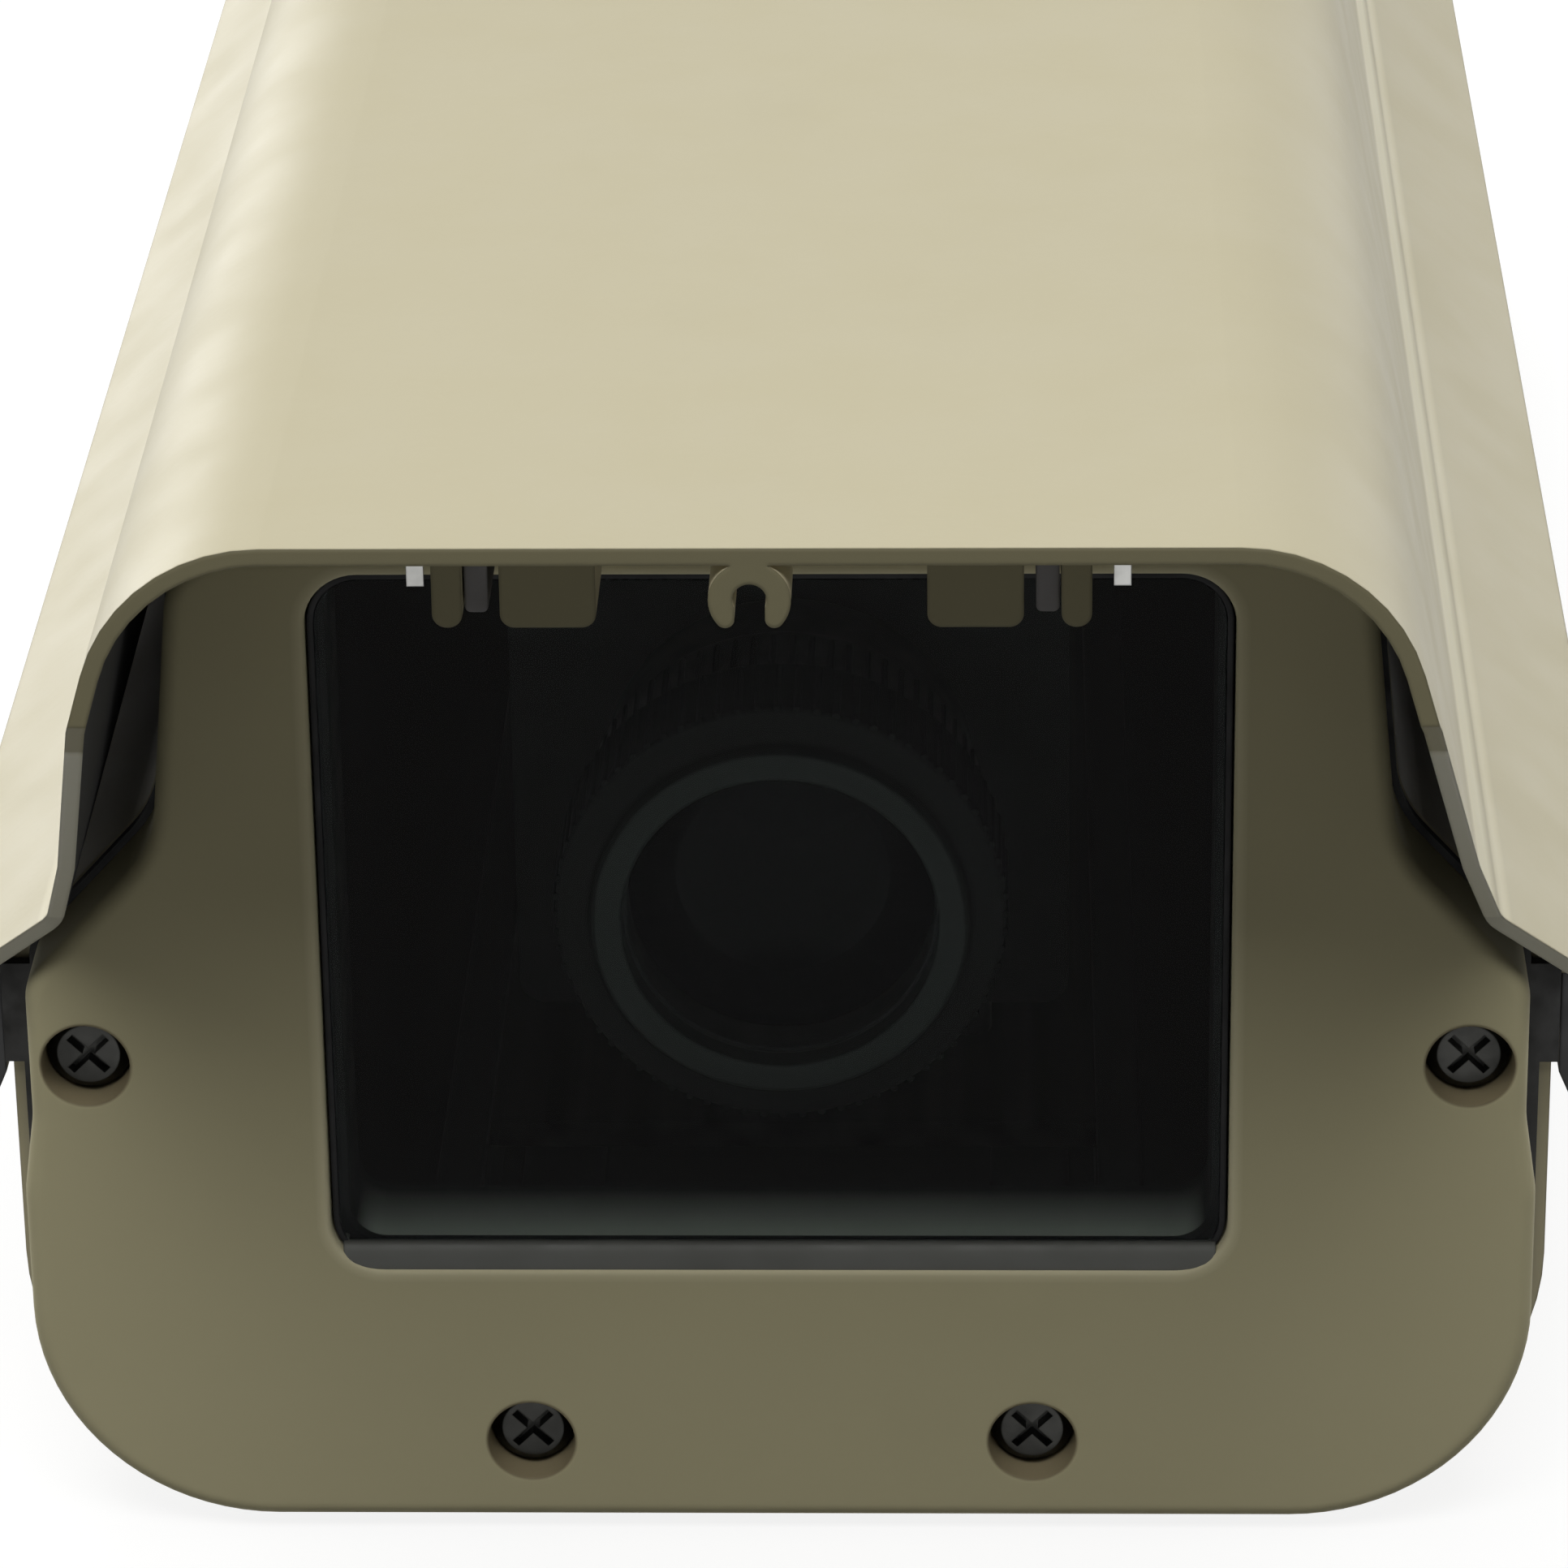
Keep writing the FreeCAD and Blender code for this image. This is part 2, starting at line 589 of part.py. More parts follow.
def make_cover():
    body = new_body("cover")
    pad_along(body, [rounded(band(cover_path(), S.cover_wall))], COVER_START, COVER_LENGTH)
    holes = [circle(side * hood_screw_x(), y, S.screw_radius + S.slip / 2)
             for side in (-1, 1) for y in (S.hood_screw_front, from_rear(S.hood_screw_back))]
    pocket_up(body, holes, "sizes.plate_height - 2 * sizes.cover_wall", "6 * sizes.cover_wall")
    inner, outer = S.body_half_width, keeper_face() + S.slip
    low, high = skirt_bottom() - S.slip, ledge_height() - S.cover_wall
    notches = [rounded(box_outline(min(side * inner, side * outer), low, max(side * inner, side * outer), high))
               for side in (-1, 1)]
    pocket_along(body, notches, COVER_START, "sizes.tip_depth")
    pocket_along(body, notches, COVER_START + " + " + COVER_LENGTH + " - sizes.tip_depth", "sizes.tip_depth")
    _, high = hinge_rivet_heights()
    rows = [y for start in (S.hinge_front, from_rear(S.hinge_back + S.leaf_length)) for y in leaf_rivet_rows(start)]
    rivet_bores(body, -1, [(y, high) for y in rows], keeper_face(), S.cover_wall)
    height = S.keeper_base + S.keeper_tall / 2
    keepers = [(y, height) for middle in (S.latch_front, from_rear(S.latch_back)) for y in keeper_rows(middle)]
    rivet_bores(body, 1, keepers, keeper_face(), S.cover_wall)


def make_skirt_tips(label, side):
    """Black moulded tips that close the skirt's two ends."""
    inner, outer = S.body_half_width + S.skirt_gap, keeper_face()
    high, low = ledge_height() - S.cover_wall, skirt_bottom()
    corners = [Vector(side * inner, 0, high), Vector(side * inner, 0, low - S.tip_inner_drop),
               Vector(side * outer, 0, low - S.tip_outer_drop), Vector(side * outer, 0, high)]
    face = Part.Face(Part.makePolygon(corners + corners[:1]))
    front = S.plate_thickness + S.gasket_thickness + S.slip
    rear = from_rear(front + S.tip_depth)
    tips = []
    for y in (front, rear):
        tip = face.extrude(Vector(0, S.tip_depth, 0))
        tip.translate(Vector(0, y, 0))
        tips.append(tip)
    group(label, tips)


def hood_screw_x():
    return (S.block_inner + S.block_outer) / 2


def make_wall_seal(label, side):
    body = new_body(label)
    middle = side * (S.body_half_width - S.body_wall / 2)
    half = S.seal_width / 2
    section = box_outline(middle - half, S.wall_top, middle + half, S.wall_top + S.seal_tall, S.seal_tall * 0.4)
    pad_along(body, [rounded(section)], FRONT_SEAT, BODY_LENGTH)


# Hood: extruded sunshield with raked front, hanging rails and a screw port

HOOD_LENGTH = "sizes.housing_length + sizes.hood_front_overhang + sizes.hood_rear_overhang"


def make_hood():
    body = new_body("hood")
    pad_along(body, [rounded(band(hood_path(), S.hood_wall))], "-sizes.hood_front_overhang", HOOD_LENGTH)
    under = hood_top() - S.hood_wall
    low = S.plate_height + S.cover_offset
    root = under + S.hood_wall / 2
    rails = []
    for side in (-1, 1):
        for inner, outer in ((S.block_inner, S.block_outer), (S.rib_inner, S.rib_outer)):
            lobe = [(inner, root, 0), (inner, low, S.rib_round), (outer, low, S.rib_round), (outer, root, 0)]
            rails.append(rounded([(side * u, v, radius) for u, v, radius in lobe]))
    setback = "sizes.rail_setback - sizes.hood_front_overhang"
    pad_along(body, rails, setback, HOOD_LENGTH + " - sizes.rail_setback")
    port = under - S.port_outer + S.slip
    outer_ring = circle(0, port, S.port_outer)
    pad_along(body, [outer_ring], "-sizes.hood_front_overhang", HOOD_LENGTH)
    bore = circle(0, port, S.port_bore)
    pocket_along(body, [bore], "-sizes.hood_front_overhang", HOOD_LENGTH)
    slot = rounded(box_outline(-S.port_slot / 2, port - 2 * S.port_outer, S.port_slot / 2, port))
    pocket_along(body, [slot], "-sizes.hood_front_overhang", HOOD_LENGTH)
    mouth = port - math.sqrt(S.port_outer ** 2 - (S.port_slot / 2) ** 2)

    def on_port_lip(edge):
        box = edge.BoundBox
        return box.YLength > S.housing_length and box.ZLength < 0.01 and abs(box.ZMin - mouth) < 0.01

    round_edges(body, "sizes.port_lip", on_port_lip)
    front, knee, low_end = -S.hood_front_overhang, S.shoulder_height + S.knee_rise, S.side_step_height
    knee_front = front + S.rake_slope * (S.rake_start - knee)
    rake = [(front - 5, S.rake_start, 0), (front, S.rake_start, 0), (knee_front, knee, 0),
            (knee_front + S.wing_rake_slope * (knee - low_end), low_end, 0), (front - 5, low_end, 0)]
    cross_pocket(body, [rounded(rake)], "sizes.body_half_width + sizes.wing_reach")
    holes = [circle(side * hood_screw_x(), y, S.screw_radius + S.thread_slip)
             for side in (-1, 1) for y in (S.hood_screw_front, from_rear(S.hood_screw_back))]
    pocket_up(body, holes, "sizes.plate_height", "sizes.cover_offset + sizes.hood_screw_grip + 2")


def make_hood_strip(label, side):
    """The grey slide strip held in a channel between the hood's two rails."""
    body = new_body(label)
    outer = S.rib_inner - S.strip_gap
    inner = outer - S.strip_width
    low = S.plate_height + S.cover_offset + S.strip_lift
    high = hood_top() - S.hood_wall - S.strip_gap
    section = [(inner, low, 0.5), (outer, low, 0.5), (outer, high, 0), (inner, high, 0)]
    setback = "sizes.rail_setback - sizes.hood_front_overhang + 1"
    pad_along(body, [rounded([(side * u, v, r) for u, v, r in section])], setback,
              HOOD_LENGTH + " - sizes.rail_setback - 2")


def make_hood_screws():
    seat = S.plate_height + S.cover_offset - S.cover_wall
    length = S.cover_wall + S.hood_screw_grip
    group("hood_screws", [pan_screw(Vector(side * hood_screw_x(), y, seat), Vector(0, 0, 1), length,
                                    S.screw_radius, S.screw_head, S.screw_head_tall)
                          for side in (-1, 1) for y in (S.hood_screw_front, from_rear(S.hood_screw_back))])


# Hinges on the left: leaf on the trough, leaf on the cover's skirt, pin

def hinge_axis():
    return -(S.body_half_width + S.hinge_gap + S.knuckle_radius), S.hinge_height


def knuckle(y0, y1):
    x, z = hinge_axis()
    return Part.makeCylinder(S.knuckle_radius, y1 - y0, Vector(x, y0, z), Vector(0, 1, 0))


def hinge_bore(y0, y1):
    x, z = hinge_axis()
    return Part.makeCylinder(S.pin_radius + S.pin_slip, y1 - y0 + 2, Vector(x, y0 - 1, z), Vector(0, 1, 0))


def make_hinge(place, start):
    x, z = hinge_axis()
    third = S.leaf_length / 4
    gap = S.slip
    end = start + S.leaf_length
    wall = -S.body_half_width
    low = z - S.leaf_drop
    plate = slab(wall - S.leaf_sheet, wall, start, end, low, z - S.knuckle_radius - gap)
    neck = slab(wall - S.leaf_sheet, wall, start + third, end - third, low, z - gap)
    barrel = knuckle(start + third, end - third)
    leaf = plate.fuse(neck).fuse(barrel).removeSplitter().cut(hinge_bore(start, end))
    upright = [e for e in leaf.Edges if e.BoundBox.ZMax < low + 0.01 and e.BoundBox.XLength > S.leaf_sheet / 2
               and e.BoundBox.YLength < 0.01]
    leaf = leaf.makeFillet(3, upright)
    body_height, cover_height = hinge_rivet_heights()
    across = Vector(1, 0, 0)
    rows = leaf_rivet_rows(start)
    lower = [Vector(wall - S.leaf_sheet, y, body_height) for y in rows]
    group("hinge_leaf_body_" + place, [drill(leaf, lower, across, S.rivet_radius, S.leaf_sheet)])
    skirt = -keeper_face()
    root = skirt_bottom()
    wing = slab(skirt - S.leaf_sheet, skirt, start, end, root, z + S.knuckle_radius + S.leaf_rise)
    solids = wing
    for y0, y1 in ((start, start + third - gap), (end - third + gap, end)):
        solids = solids.fuse(slab(skirt - S.leaf_sheet, skirt, y0, y1, z, root)).fuse(knuckle(y0, y1))
    solids = solids.removeSplitter().cut(hinge_bore(start, end))
    upper = [Vector(skirt - S.leaf_sheet, y, cover_height) for y in rows]
    group("hinge_leaf_cover_" + place, [drill(solids, upper, across, S.rivet_radius, S.leaf_sheet)])
    body = new_body("hinge_pin_" + place, str(x), str(start), str(z))
    head = S.pin_radius + 0.4
    overhang = 1.2
    turn_along(body, [(-overhang, 0, 0), (-overhang, head, 0.3), (-gap, head, 0), (-gap, S.pin_radius, 0),
                      (S.leaf_length + gap, S.pin_radius, 0), (S.leaf_length + gap, head, 0),
                      (S.leaf_length + overhang, head, 0.3), (S.leaf_length + overhang, 0, 0)])


def rivet(place, axis, depth):
    """A domed rivet whose head's underside lies at place."""
    tall = S.rivet_head * 0.35
    profile = [(-tall, 0), (-tall, S.rivet_head * 0.45), (-tall * 0.45, S.rivet_head * 0.9), (0, S.rivet_head),
               (0, S.rivet_radius), (depth, S.rivet_radius), (depth, 0)]
    return turned_solid(profile, place, axis)


def leaf_rivet_rows(start):
    return [start + S.leaf_length * share for share in (0.2, 0.8)]


def hinge_rivet_heights():
    """Rivet heights in the trough's leaf and in the cover's leaf."""
    upper = S.hinge_height + (S.knuckle_radius + S.hinge_gap + S.knuckle_radius + S.leaf_rise) / 2
    return S.hinge_height - S.leaf_drop * 0.6, upper


def make_hinge_rivets():
    low, high = hinge_rivet_heights()
    wall = -S.body_half_width
    skirt = -keeper_face()
    rows = [y for start in (S.hinge_front, from_rear(S.hinge_back + S.leaf_length)) for y in leaf_rivet_rows(start)]
    axis = Vector(1, 0, 0)
    fixed = [rivet(Vector(wall - S.leaf_sheet, y, low), axis, S.leaf_sheet + S.body_wall) for y in rows]
    moving = [rivet(Vector(skirt - S.leaf_sheet, y, high), axis, S.leaf_sheet + S.cover_wall) for y in rows]
    group("hinge_rivets_body", fixed)
    group("hinge_rivets_cover", moving)


def drill(shape, places, axis, radius, depth):
    """Bores of one radius through a shape, each starting a little before its place."""
    for place in places:
        shape = shape.cut(Part.makeCylinder(radius, depth + 1, place - axis * 0.5, axis))
    return shape


# Latches on the right: base with ears, lever, pin, wire bail and the keeper on the cover

def latch_axis():
    return S.body_half_width + S.latch_sheet + S.latch_standoff, S.latch_height


def bail_pivot():
    x, z = latch_axis()
    return x + S.bail_out, z - S.bail_down


def keeper_face():
    return S.body_half_width + S.skirt_gap + S.cover_wall


def ear_inner():
    return S.lever_half + S.slip


def leg_offset():
    """How far a bail leg lies to each side of the latch's middle."""
    return ear_inner() + S.ear_sheet + 2 * S.wire_radius + S.slip


def latch_rivet_heights():
    return S.latch_height - S.lever_drop * 0.8, S.latch_height + 6


def make_latch_base(place, middle):
    x, z = latch_axis()
    wall = S.body_half_width
    half = leg_offset() + S.wire_radius
    low, high = latch_rivet_heights()
    base = slab(wall, wall + S.latch_sheet, middle - half, middle + half, low - 3, high + 3)
    corners = [e for e in base.Edges if e.BoundBox.XLength > S.latch_sheet / 2]
    base = base.makeFillet(2, corners)
    for side in (-1, 1):
        y0 = middle + side * ear_inner()
        y1 = y0 + side * S.ear_sheet
        y0, y1 = min(y0, y1), max(y0, y1)
        base = base.fuse(slab(wall, x, y0, y1, z - S.ear_radius, z + S.ear_radius))
        base = base.fuse(Part.makeCylinder(S.ear_radius, S.ear_sheet, Vector(x, y0, z), Vector(0, 1, 0)))
    bore = Part.makeCylinder(S.latch_pin_radius + S.pin_slip, 2 * half, Vector(x, middle - half, z), Vector(0, 1, 0))
    rows = [Vector(wall, middle, height) for height in (low, high)]
    base = drill(base.removeSplitter().cut(bore), rows, Vector(1, 0, 0), S.rivet_radius, S.latch_sheet)
    group("latch_base_" + place, [base])


def make_latch_lever(place, middle):
    body = new_body("latch_lever_" + place)
    x, z = latch_axis()
    _, bail_z = bail_pivot()
    eye, low = S.lever_eye, z - S.lever_drop
    outer, inner = x + 1.3, x + 1.3 - S.lever_sheet
    profile = [
        (x - eye, z + eye, eye - 0.05), (x + eye, z + eye, eye - 0.05),
        (x + eye, bail_z - 2.0, 0.8), (outer, bail_z - 2.9, 0.8), (outer, low + 1.2, 0.6),
        (x + 3.4, low - 0.4, 0.3), (x + 2.6, low - 1.8, 0.3), (inner, low + 0.4, 0.8),
        (inner, bail_z - 2.4, 0.8), (x - eye + 0.2, bail_z - 1.4, 0.8),
    ]
    start = "%s - sizes.lever_half" % middle
    pad_along(body, [rounded(profile)], start, "2 * sizes.lever_half")
    bores = [circle(x, z, S.latch_pin_radius + S.pin_slip), circle(x + S.bail_out, bail_z, S.wire_radius + S.pin_slip)]
    pocket_along(body, bores, start, "2 * sizes.lever_half")


def make_latch_pin(place, middle):
    x, z = latch_axis()
    reach = ear_inner() + S.ear_sheet
    body = new_body("latch_pin_" + place, str(x), str(middle), str(z))
    head = S.latch_pin_radius + 0.5
    cap = 0.5
    gap = S.hair
    turn_along(body, [(-reach - gap - cap, 0, 0), (-reach - gap - cap, head, 0.2), (-reach - gap, head, 0),
                      (-reach - gap, S.latch_pin_radius, 0), (reach + gap, S.latch_pin_radius, 0),
                      (reach + gap, head, 0), (reach + gap + cap, head, 0.2), (reach + gap + cap, 0, 0)])


def wire_run(start, end):
    run = end - start
    return Part.makeCylinder(S.wire_radius, run.Length, start, run)


def make_bail(place, middle):
    x, z = bail_pivot()
    leg = leg_offset()
    bar_x = keeper_face() + S.keeper_thick + S.latch_gap + S.wire_radius
    points = [Vector(x, middle - S.lever_half + 1.5, z), Vector(x, middle - leg, z),
              Vector(bar_x, middle - leg, S.bail_rise), Vector(bar_x, middle + leg, S.bail_rise),
              Vector(x, middle + leg, z), Vector(x, middle + S.lever_half - 1.5, z)]
    bail = wire_run(points[0], points[1])
    for start, end in zip(points[1:], points[2:]):
        bail = bail.fuse(Part.makeSphere(S.wire_radius, start)).fuse(wire_run(start, end))
    group("latch_bail_" + place, [bail])


def make_keeper(place, middle):
    face = keeper_face()
    low, high = S.keeper_base, S.keeper_base + S.keeper_tall
    body = new_body("latch_keeper_" + place)
    lip = face + S.keeper_thick - 0.7
    hook = [(face, low, 0), (face + S.keeper_thick, low + 1, 0.6), (face + S.keeper_thick, high, 0.25),
            (lip, high, 0.25), (lip, low + 2.2, 0.4), (face + 1, low + 2.2, 0), (face + 1, high, 0), (face, high, 0)]
    pad_along(body, [rounded(hook)], "%s - sizes.keeper_half" % middle, "2 * sizes.keeper_half")
    plate = box_outline(face, low, face + 1, high)
    wide = leg_offset() + S.wire_radius
    pad_along(body, [rounded(plate)], str(middle - wide), str(2 * wide))
    rows = [circle(y, (low + high) / 2, S.rivet_radius) for y in keeper_rows(middle)]
    before = body.Shape.Volume
    pocket = body.newObject("PartDesign::Pocket", body.Label + "_bore")
    pocket.Profile = sketch_on(body, "YZ_Plane", rows, str(face))
    pocket.Reversed = True
    pocket.Length = 3
    doc.recompute()
    if body.Shape.Volume >= before:
        raise RuntimeError("nothing cut in " + body.Label)


def keeper_rows(middle):
    reach = (S.keeper_half + leg_offset() + S.wire_radius) / 2
    return [middle - reach, middle + reach]


def make_latch_rivets():
    axis = Vector(-1, 0, 0)
    wall = S.body_half_width
    low, high = latch_rivet_heights()
    middles = (S.latch_front, from_rear(S.latch_back))
    fixed = [rivet(Vector(wall + S.latch_sheet, y, height), axis, S.latch_sheet + S.body_wall)
             for y in middles for height in (low, high)]
    group("latch_rivets_body", fixed)
    height = S.keeper_base + S.keeper_tall / 2
    moving = [rivet(Vector(keeper_face() + 1, y, height), axis, 1 + S.cover_wall)
              for middle in middles for y in keeper_rows(middle)]
    group("latch_rivets_cover", moving)


def rivet_bores(body, side, places, start, depth):
    """Rivet bores through a side wall; places are (along, up)."""
    before = body.Shape.Volume
    pocket = body.newObject("PartDesign::Pocket", body.Label + "_rivets")
    edge = start - depth if side > 0 else -start
    pocket.Profile = sketch_on(body, "YZ_Plane", [circle(y, z, S.rivet_radius) for y, z in places], str(edge))
    pocket.Reversed = True
    pocket.Length = depth
    doc.recompute()
    if body.Shape.Volume >= before:
        raise RuntimeError("nothing cut in " + body.Label)


# Camera, lens and sled

def make_sled():
    body = new_body("camera_sled")
    base = "sizes.groove_floor + sizes.sled_slip"
    end = board_front() - S.sled_to_board
    plan = box_outline(-S.sled_half, S.sled_front, S.sled_half, end, S.sled_sheet)
    pad_up(body, [rounded(plan)], base, "sizes.sled_sheet")
    half, back = S.slot_wide / 2, end - S.slot_in
    slots = [rounded(box_outline(side * S.slot_x - half, back - S.slot_long, side * S.slot_x + half, back, half - S.slip))
             for side in (-1, 1)]
    knob = circle(0, S.knob_place, S.stud_radius + S.pin_slip)
    pocket_up(body, [knob] + slots, base, "sizes.sled_sheet")



def sled_top():
    return S.groove_floor + S.sled_slip + S.sled_sheet


def camera_face():
    return S.lens_front + S.focus_length + S.ring_gap + S.zoom_length + S.ring_gap + S.lens_tail


def make_stand():
    body = new_body("camera_stand")
    front = camera_face() + S.camera_length * 0.2
    back = camera_face() + S.camera_length * 0.8
    plan = box_outline(-S.stand_half, front, S.stand_half, back, 2)
    height = S.lens_height - S.camera_half - sled_top()
    pad_up(body, [rounded(plan)], str(sled_top()), str(height))
    hollow = box_outline(-S.stand_half + 3, front + 3, S.stand_half - 3, back - 3, 1)
    pocket_up(body, [rounded(hollow)], str(sled_top() + 3), str(height - 6))


def make_camera():
    body = new_body("camera_body", "0", str(camera_face()), "sizes.lens_height")
    half = S.camera_half
    section = box_outline(-half, -half, half, half, S.camera_round)
    pad_along(body, [rounded(section)], "0", "sizes.camera_length")
    socket = [circle(0, 0, S.mount_radius * 0.6)]
    pocket_along(body, socket, "0", "6")
    connector = new_body("camera_connector", "0", str(camera_face() + S.camera_length), "sizes.lens_height + 8")
    turn_along(connector, [(0, 0, 0), (0, 7, 0.4), (2.5, 7, 0), (2.5, 4.8, 0), (11, 4.8, 0.5), (11, 4.0, 0),
                           (4, 4.0, 0), (4, 0.7, 0), (9, 0.7, 0), (9, 0, 0)])


def make_lens():
    place = ("0", "sizes.lens_front", "sizes.lens_height")
    bore = S.barrel_radius + S.ring_bore_slip
    mouth = S.front_glass_radius + S.slip
    edge = S.slip * 2
    focus = new_body("focus_ring", *place)
    turn_along(focus, [(0, mouth, S.slip), (0, S.ring_lip_radius, S.slip),
                       (S.ring_step, S.ring_lip_radius + edge, edge), (S.ring_step + edge, S.focus_radius, edge),
                       (S.focus_length, S.focus_radius, edge), (S.focus_length, bore, 0), (S.ring_sheet, bore, 0),
                       (S.ring_sheet, mouth, 0)])
    zoom = new_body("zoom_ring", *place)
    start = S.focus_length + S.ring_gap
    tail = start + S.zoom_length + S.ring_gap
    turn_along(zoom, [(start, bore, 0), (start, S.zoom_radius, edge), (tail - S.ring_gap, S.zoom_radius, edge),
                      (tail - S.ring_gap, bore, 0)])
    barrel = new_body("lens_barrel", *place)
    seat = S.front_glass_radius + S.pin_slip
    nose = S.ring_sheet + S.slip
    flange = tail + S.lens_tail - S.tail_flange
    wide = S.barrel_radius + S.tail_step
    turn_along(barrel, [(nose, seat, 0), (nose, S.barrel_radius, 0), (tail, S.barrel_radius, 0), (tail, wide, S.slip),
                        (flange, wide, S.slip), (flange, S.mount_radius, 0), (tail + S.lens_tail, S.mount_radius, 0),
                        (tail + S.lens_tail, S.lens_throat, 0), (nose + S.glass_depth, S.lens_throat, 0),
                        (nose + S.glass_depth, seat, 0)])
    glass = new_body("lens_front_glass", *place)
    rim = nose + S.glass_depth / 2
    turn_along(glass, [(rim - 2 * S.glass_bulge, 0, 0),
                       (rim - S.glass_bulge, S.front_glass_radius * 0.65, S.front_glass_radius),
                       (rim, S.front_glass_radius, 0), (nose + S.glass_depth, S.front_glass_radius, 0),
                       (nose + S.glass_depth, 0, 0)])



def make_knob():
    body = new_body("sled_knob", "0", "sizes.knob_place", "0")
    low = S.floor_pad_tall + S.slip
    seat = sled_top() + S.pin_slip
    top = seat + S.knob_tall
    turn_upright(body, [(0, low, 0), (S.stud_radius - 0.6, low, 0), (S.stud_radius, low + 0.6, 0),
                        (S.stud_radius, seat, 0), (S.knob_radius * 0.75, seat, 0.5),
                        (S.knob_radius * 0.75, seat + 2.5, 0), (S.knob_radius, seat + 2.5, 0.5),
                        (S.knob_radius, top, 1.2), (0, top, 0)])


# Rear fittings: two cable glands, a supply board with its terminals

def hexagon(across_flats):
    reach = across_flats / math.sqrt(3)
    return rounded([(reach * math.cos(i * math.pi / 3), reach * math.sin(i * math.pi / 3), 0.6) for i in range(6)])


def make_gland(place, side):
    at = (str(side * S.gland_x), "sizes.housing_length", "sizes.gland_z")
    inside = S.plate_thickness + S.locknut_tall + 1
    nose = S.gland_thread - 0.6
    nose_end = S.gland_collar + S.gland_nose
    body = new_body("gland_body_" + place, *at)
    turn_along(body, [(-inside, S.gland_bore, 0), (-inside, S.gland_thread, 0.5), (0.5, S.gland_thread, 0),
                      (S.gland_collar - 0.5, S.gland_thread, 0), (S.gland_collar - 0.5, nose, 0),
                      (nose_end, nose, 0.4), (nose_end, S.gland_bore, 0)])
    ring = [hexagon(2 * S.gland_flat), circle(0, 0, S.gland_bore + 0.5)]
    pad_along(body, ring, "0", "sizes.gland_collar")
    cap = new_body("gland_cap_" + place, *at)
    start = S.gland_collar + S.slip
    shoulder = nose_end + S.slip
    end = start + S.cap_length
    wide, mouth = nose + S.slip / 2, S.seal_radius + S.glass_gap
    turn_along(cap, [(start, wide, 0), (start, S.cap_radius, 0.6), (end - 6, S.cap_radius, 2),
                     (end, S.cap_radius - S.cap_wall, 1.5), (end, mouth, 0), (shoulder, mouth, 0), (shoulder, wide, 0)])
    seal = new_body("gland_seal_" + place, *at)
    turn_along(seal, [(shoulder, S.seal_bore, 0), (shoulder, S.seal_radius, 0), (end - 0.5, S.seal_radius, 0),
                      (end - 0.5, S.seal_bore, 0)])
    nut = new_body("gland_locknut_" + place, *at)
    loops = [hexagon(2 * S.gland_flat), circle(0, 0, S.gland_thread + S.thread_slip)]
    pad_along(nut, loops, "-(sizes.plate_thickness + sizes.locknut_tall)", "sizes.locknut_tall")


def make_board():
    board = new_body("supply_board")
    front = board_front()
    end = front + S.board_length
    plan = rounded(box_outline(-S.board_half, front, S.board_half, end, S.board_sheet))
    pad_up(board, [plan], "sizes.board_height", "sizes.board_sheet")
    spacers = []
    for side in (-1, 1):
        for y in (front + S.spacer_in, end - S.spacer_in):
            spacers.append(Part.makeCylinder(S.spacer_radius, S.board_height - S.floor_pad_tall,
                                             Vector(side * S.spacer_x, y, S.floor_pad_tall)))
    group("board_spacers", spacers)
    block = new_body("terminal_block")
    base = S.board_height + S.board_sheet
    back = end - S.terminal_in
    plan = rounded(box_outline(-S.terminal_half, back - S.terminal_depth, S.terminal_half, back, S.slip * 2))
    pad_up(block, [plan], str(base), "sizes.terminal_tall")
    count = int(2 * S.terminal_half / S.terminal_pitch)
    first = -(count - 1) * S.terminal_pitch / 2
    poles = [circle(first + i * S.terminal_pitch, back - S.terminal_depth / 2, S.terminal_bore) for i in range(count)]
    pocket_up(block, poles, str(base + S.terminal_tall - S.terminal_sunk), "sizes.terminal_sunk")



make_lower_body()
make_front_plate()
make_rear_plate()
make_gasket("front_gasket", "sizes.plate_thickness")
make_gasket("rear_gasket", REAR_SEAT + " - sizes.gasket_thickness")
make_window_frame()
make_window_glass()
make_window_clips()
make_plate_screws("front_plate_screws", S.recess_depth, 1)
make_plate_screws("rear_plate_screws", S.housing_length - S.recess_depth, -1)
make_wall_seal("wall_seal_left", -1)
make_wall_seal("wall_seal_right", 1)
make_cover()
make_hood()
make_hood_strip("hood_strip_left", -1)
make_hood_strip("hood_strip_right", 1)
make_hood_screws()
make_skirt_tips("skirt_tips_left", -1)
make_skirt_tips("skirt_tips_right", 1)
for place, start in (("front", S.hinge_front), ("rear", from_rear(S.hinge_back + S.leaf_length))):
    make_hinge(place, start)
make_hinge_rivets()
for place, middle in (("front", S.latch_front), ("rear", from_rear(S.latch_back))):
    make_latch_base(place, middle)
    make_latch_lever(place, middle)
    make_latch_pin(place, middle)
    make_bail(place, middle)
    make_keeper(place, middle)
make_latch_rivets()
make_sled()
make_stand()
make_camera()
make_lens()
make_knob()
for place, side in (("left", -1), ("right", 1)):
    make_gland(place, side)
make_board()

doc.recompute()
for thing in doc.Objects:
    if "Invalid" in thing.State or "Error" in thing.State:
        raise RuntimeError("failed: " + thing.Name + " " + str(thing.State))
os.makedirs("parts", exist_ok=True)
for piece in pieces:
    shape = piece.Shape
    if shape.isNull() or not shape.isValid():
        raise RuntimeError("bad shape: " + piece.Label)
    shape.exportStep("parts/%s.step" % piece.Label)
    print(piece.Label, len(shape.Solids), round(shape.Volume), len(shape.Faces))
print(len(pieces), "pieces")
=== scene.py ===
import bmesh
import bpy
import math
from mathutils import Matrix, Vector


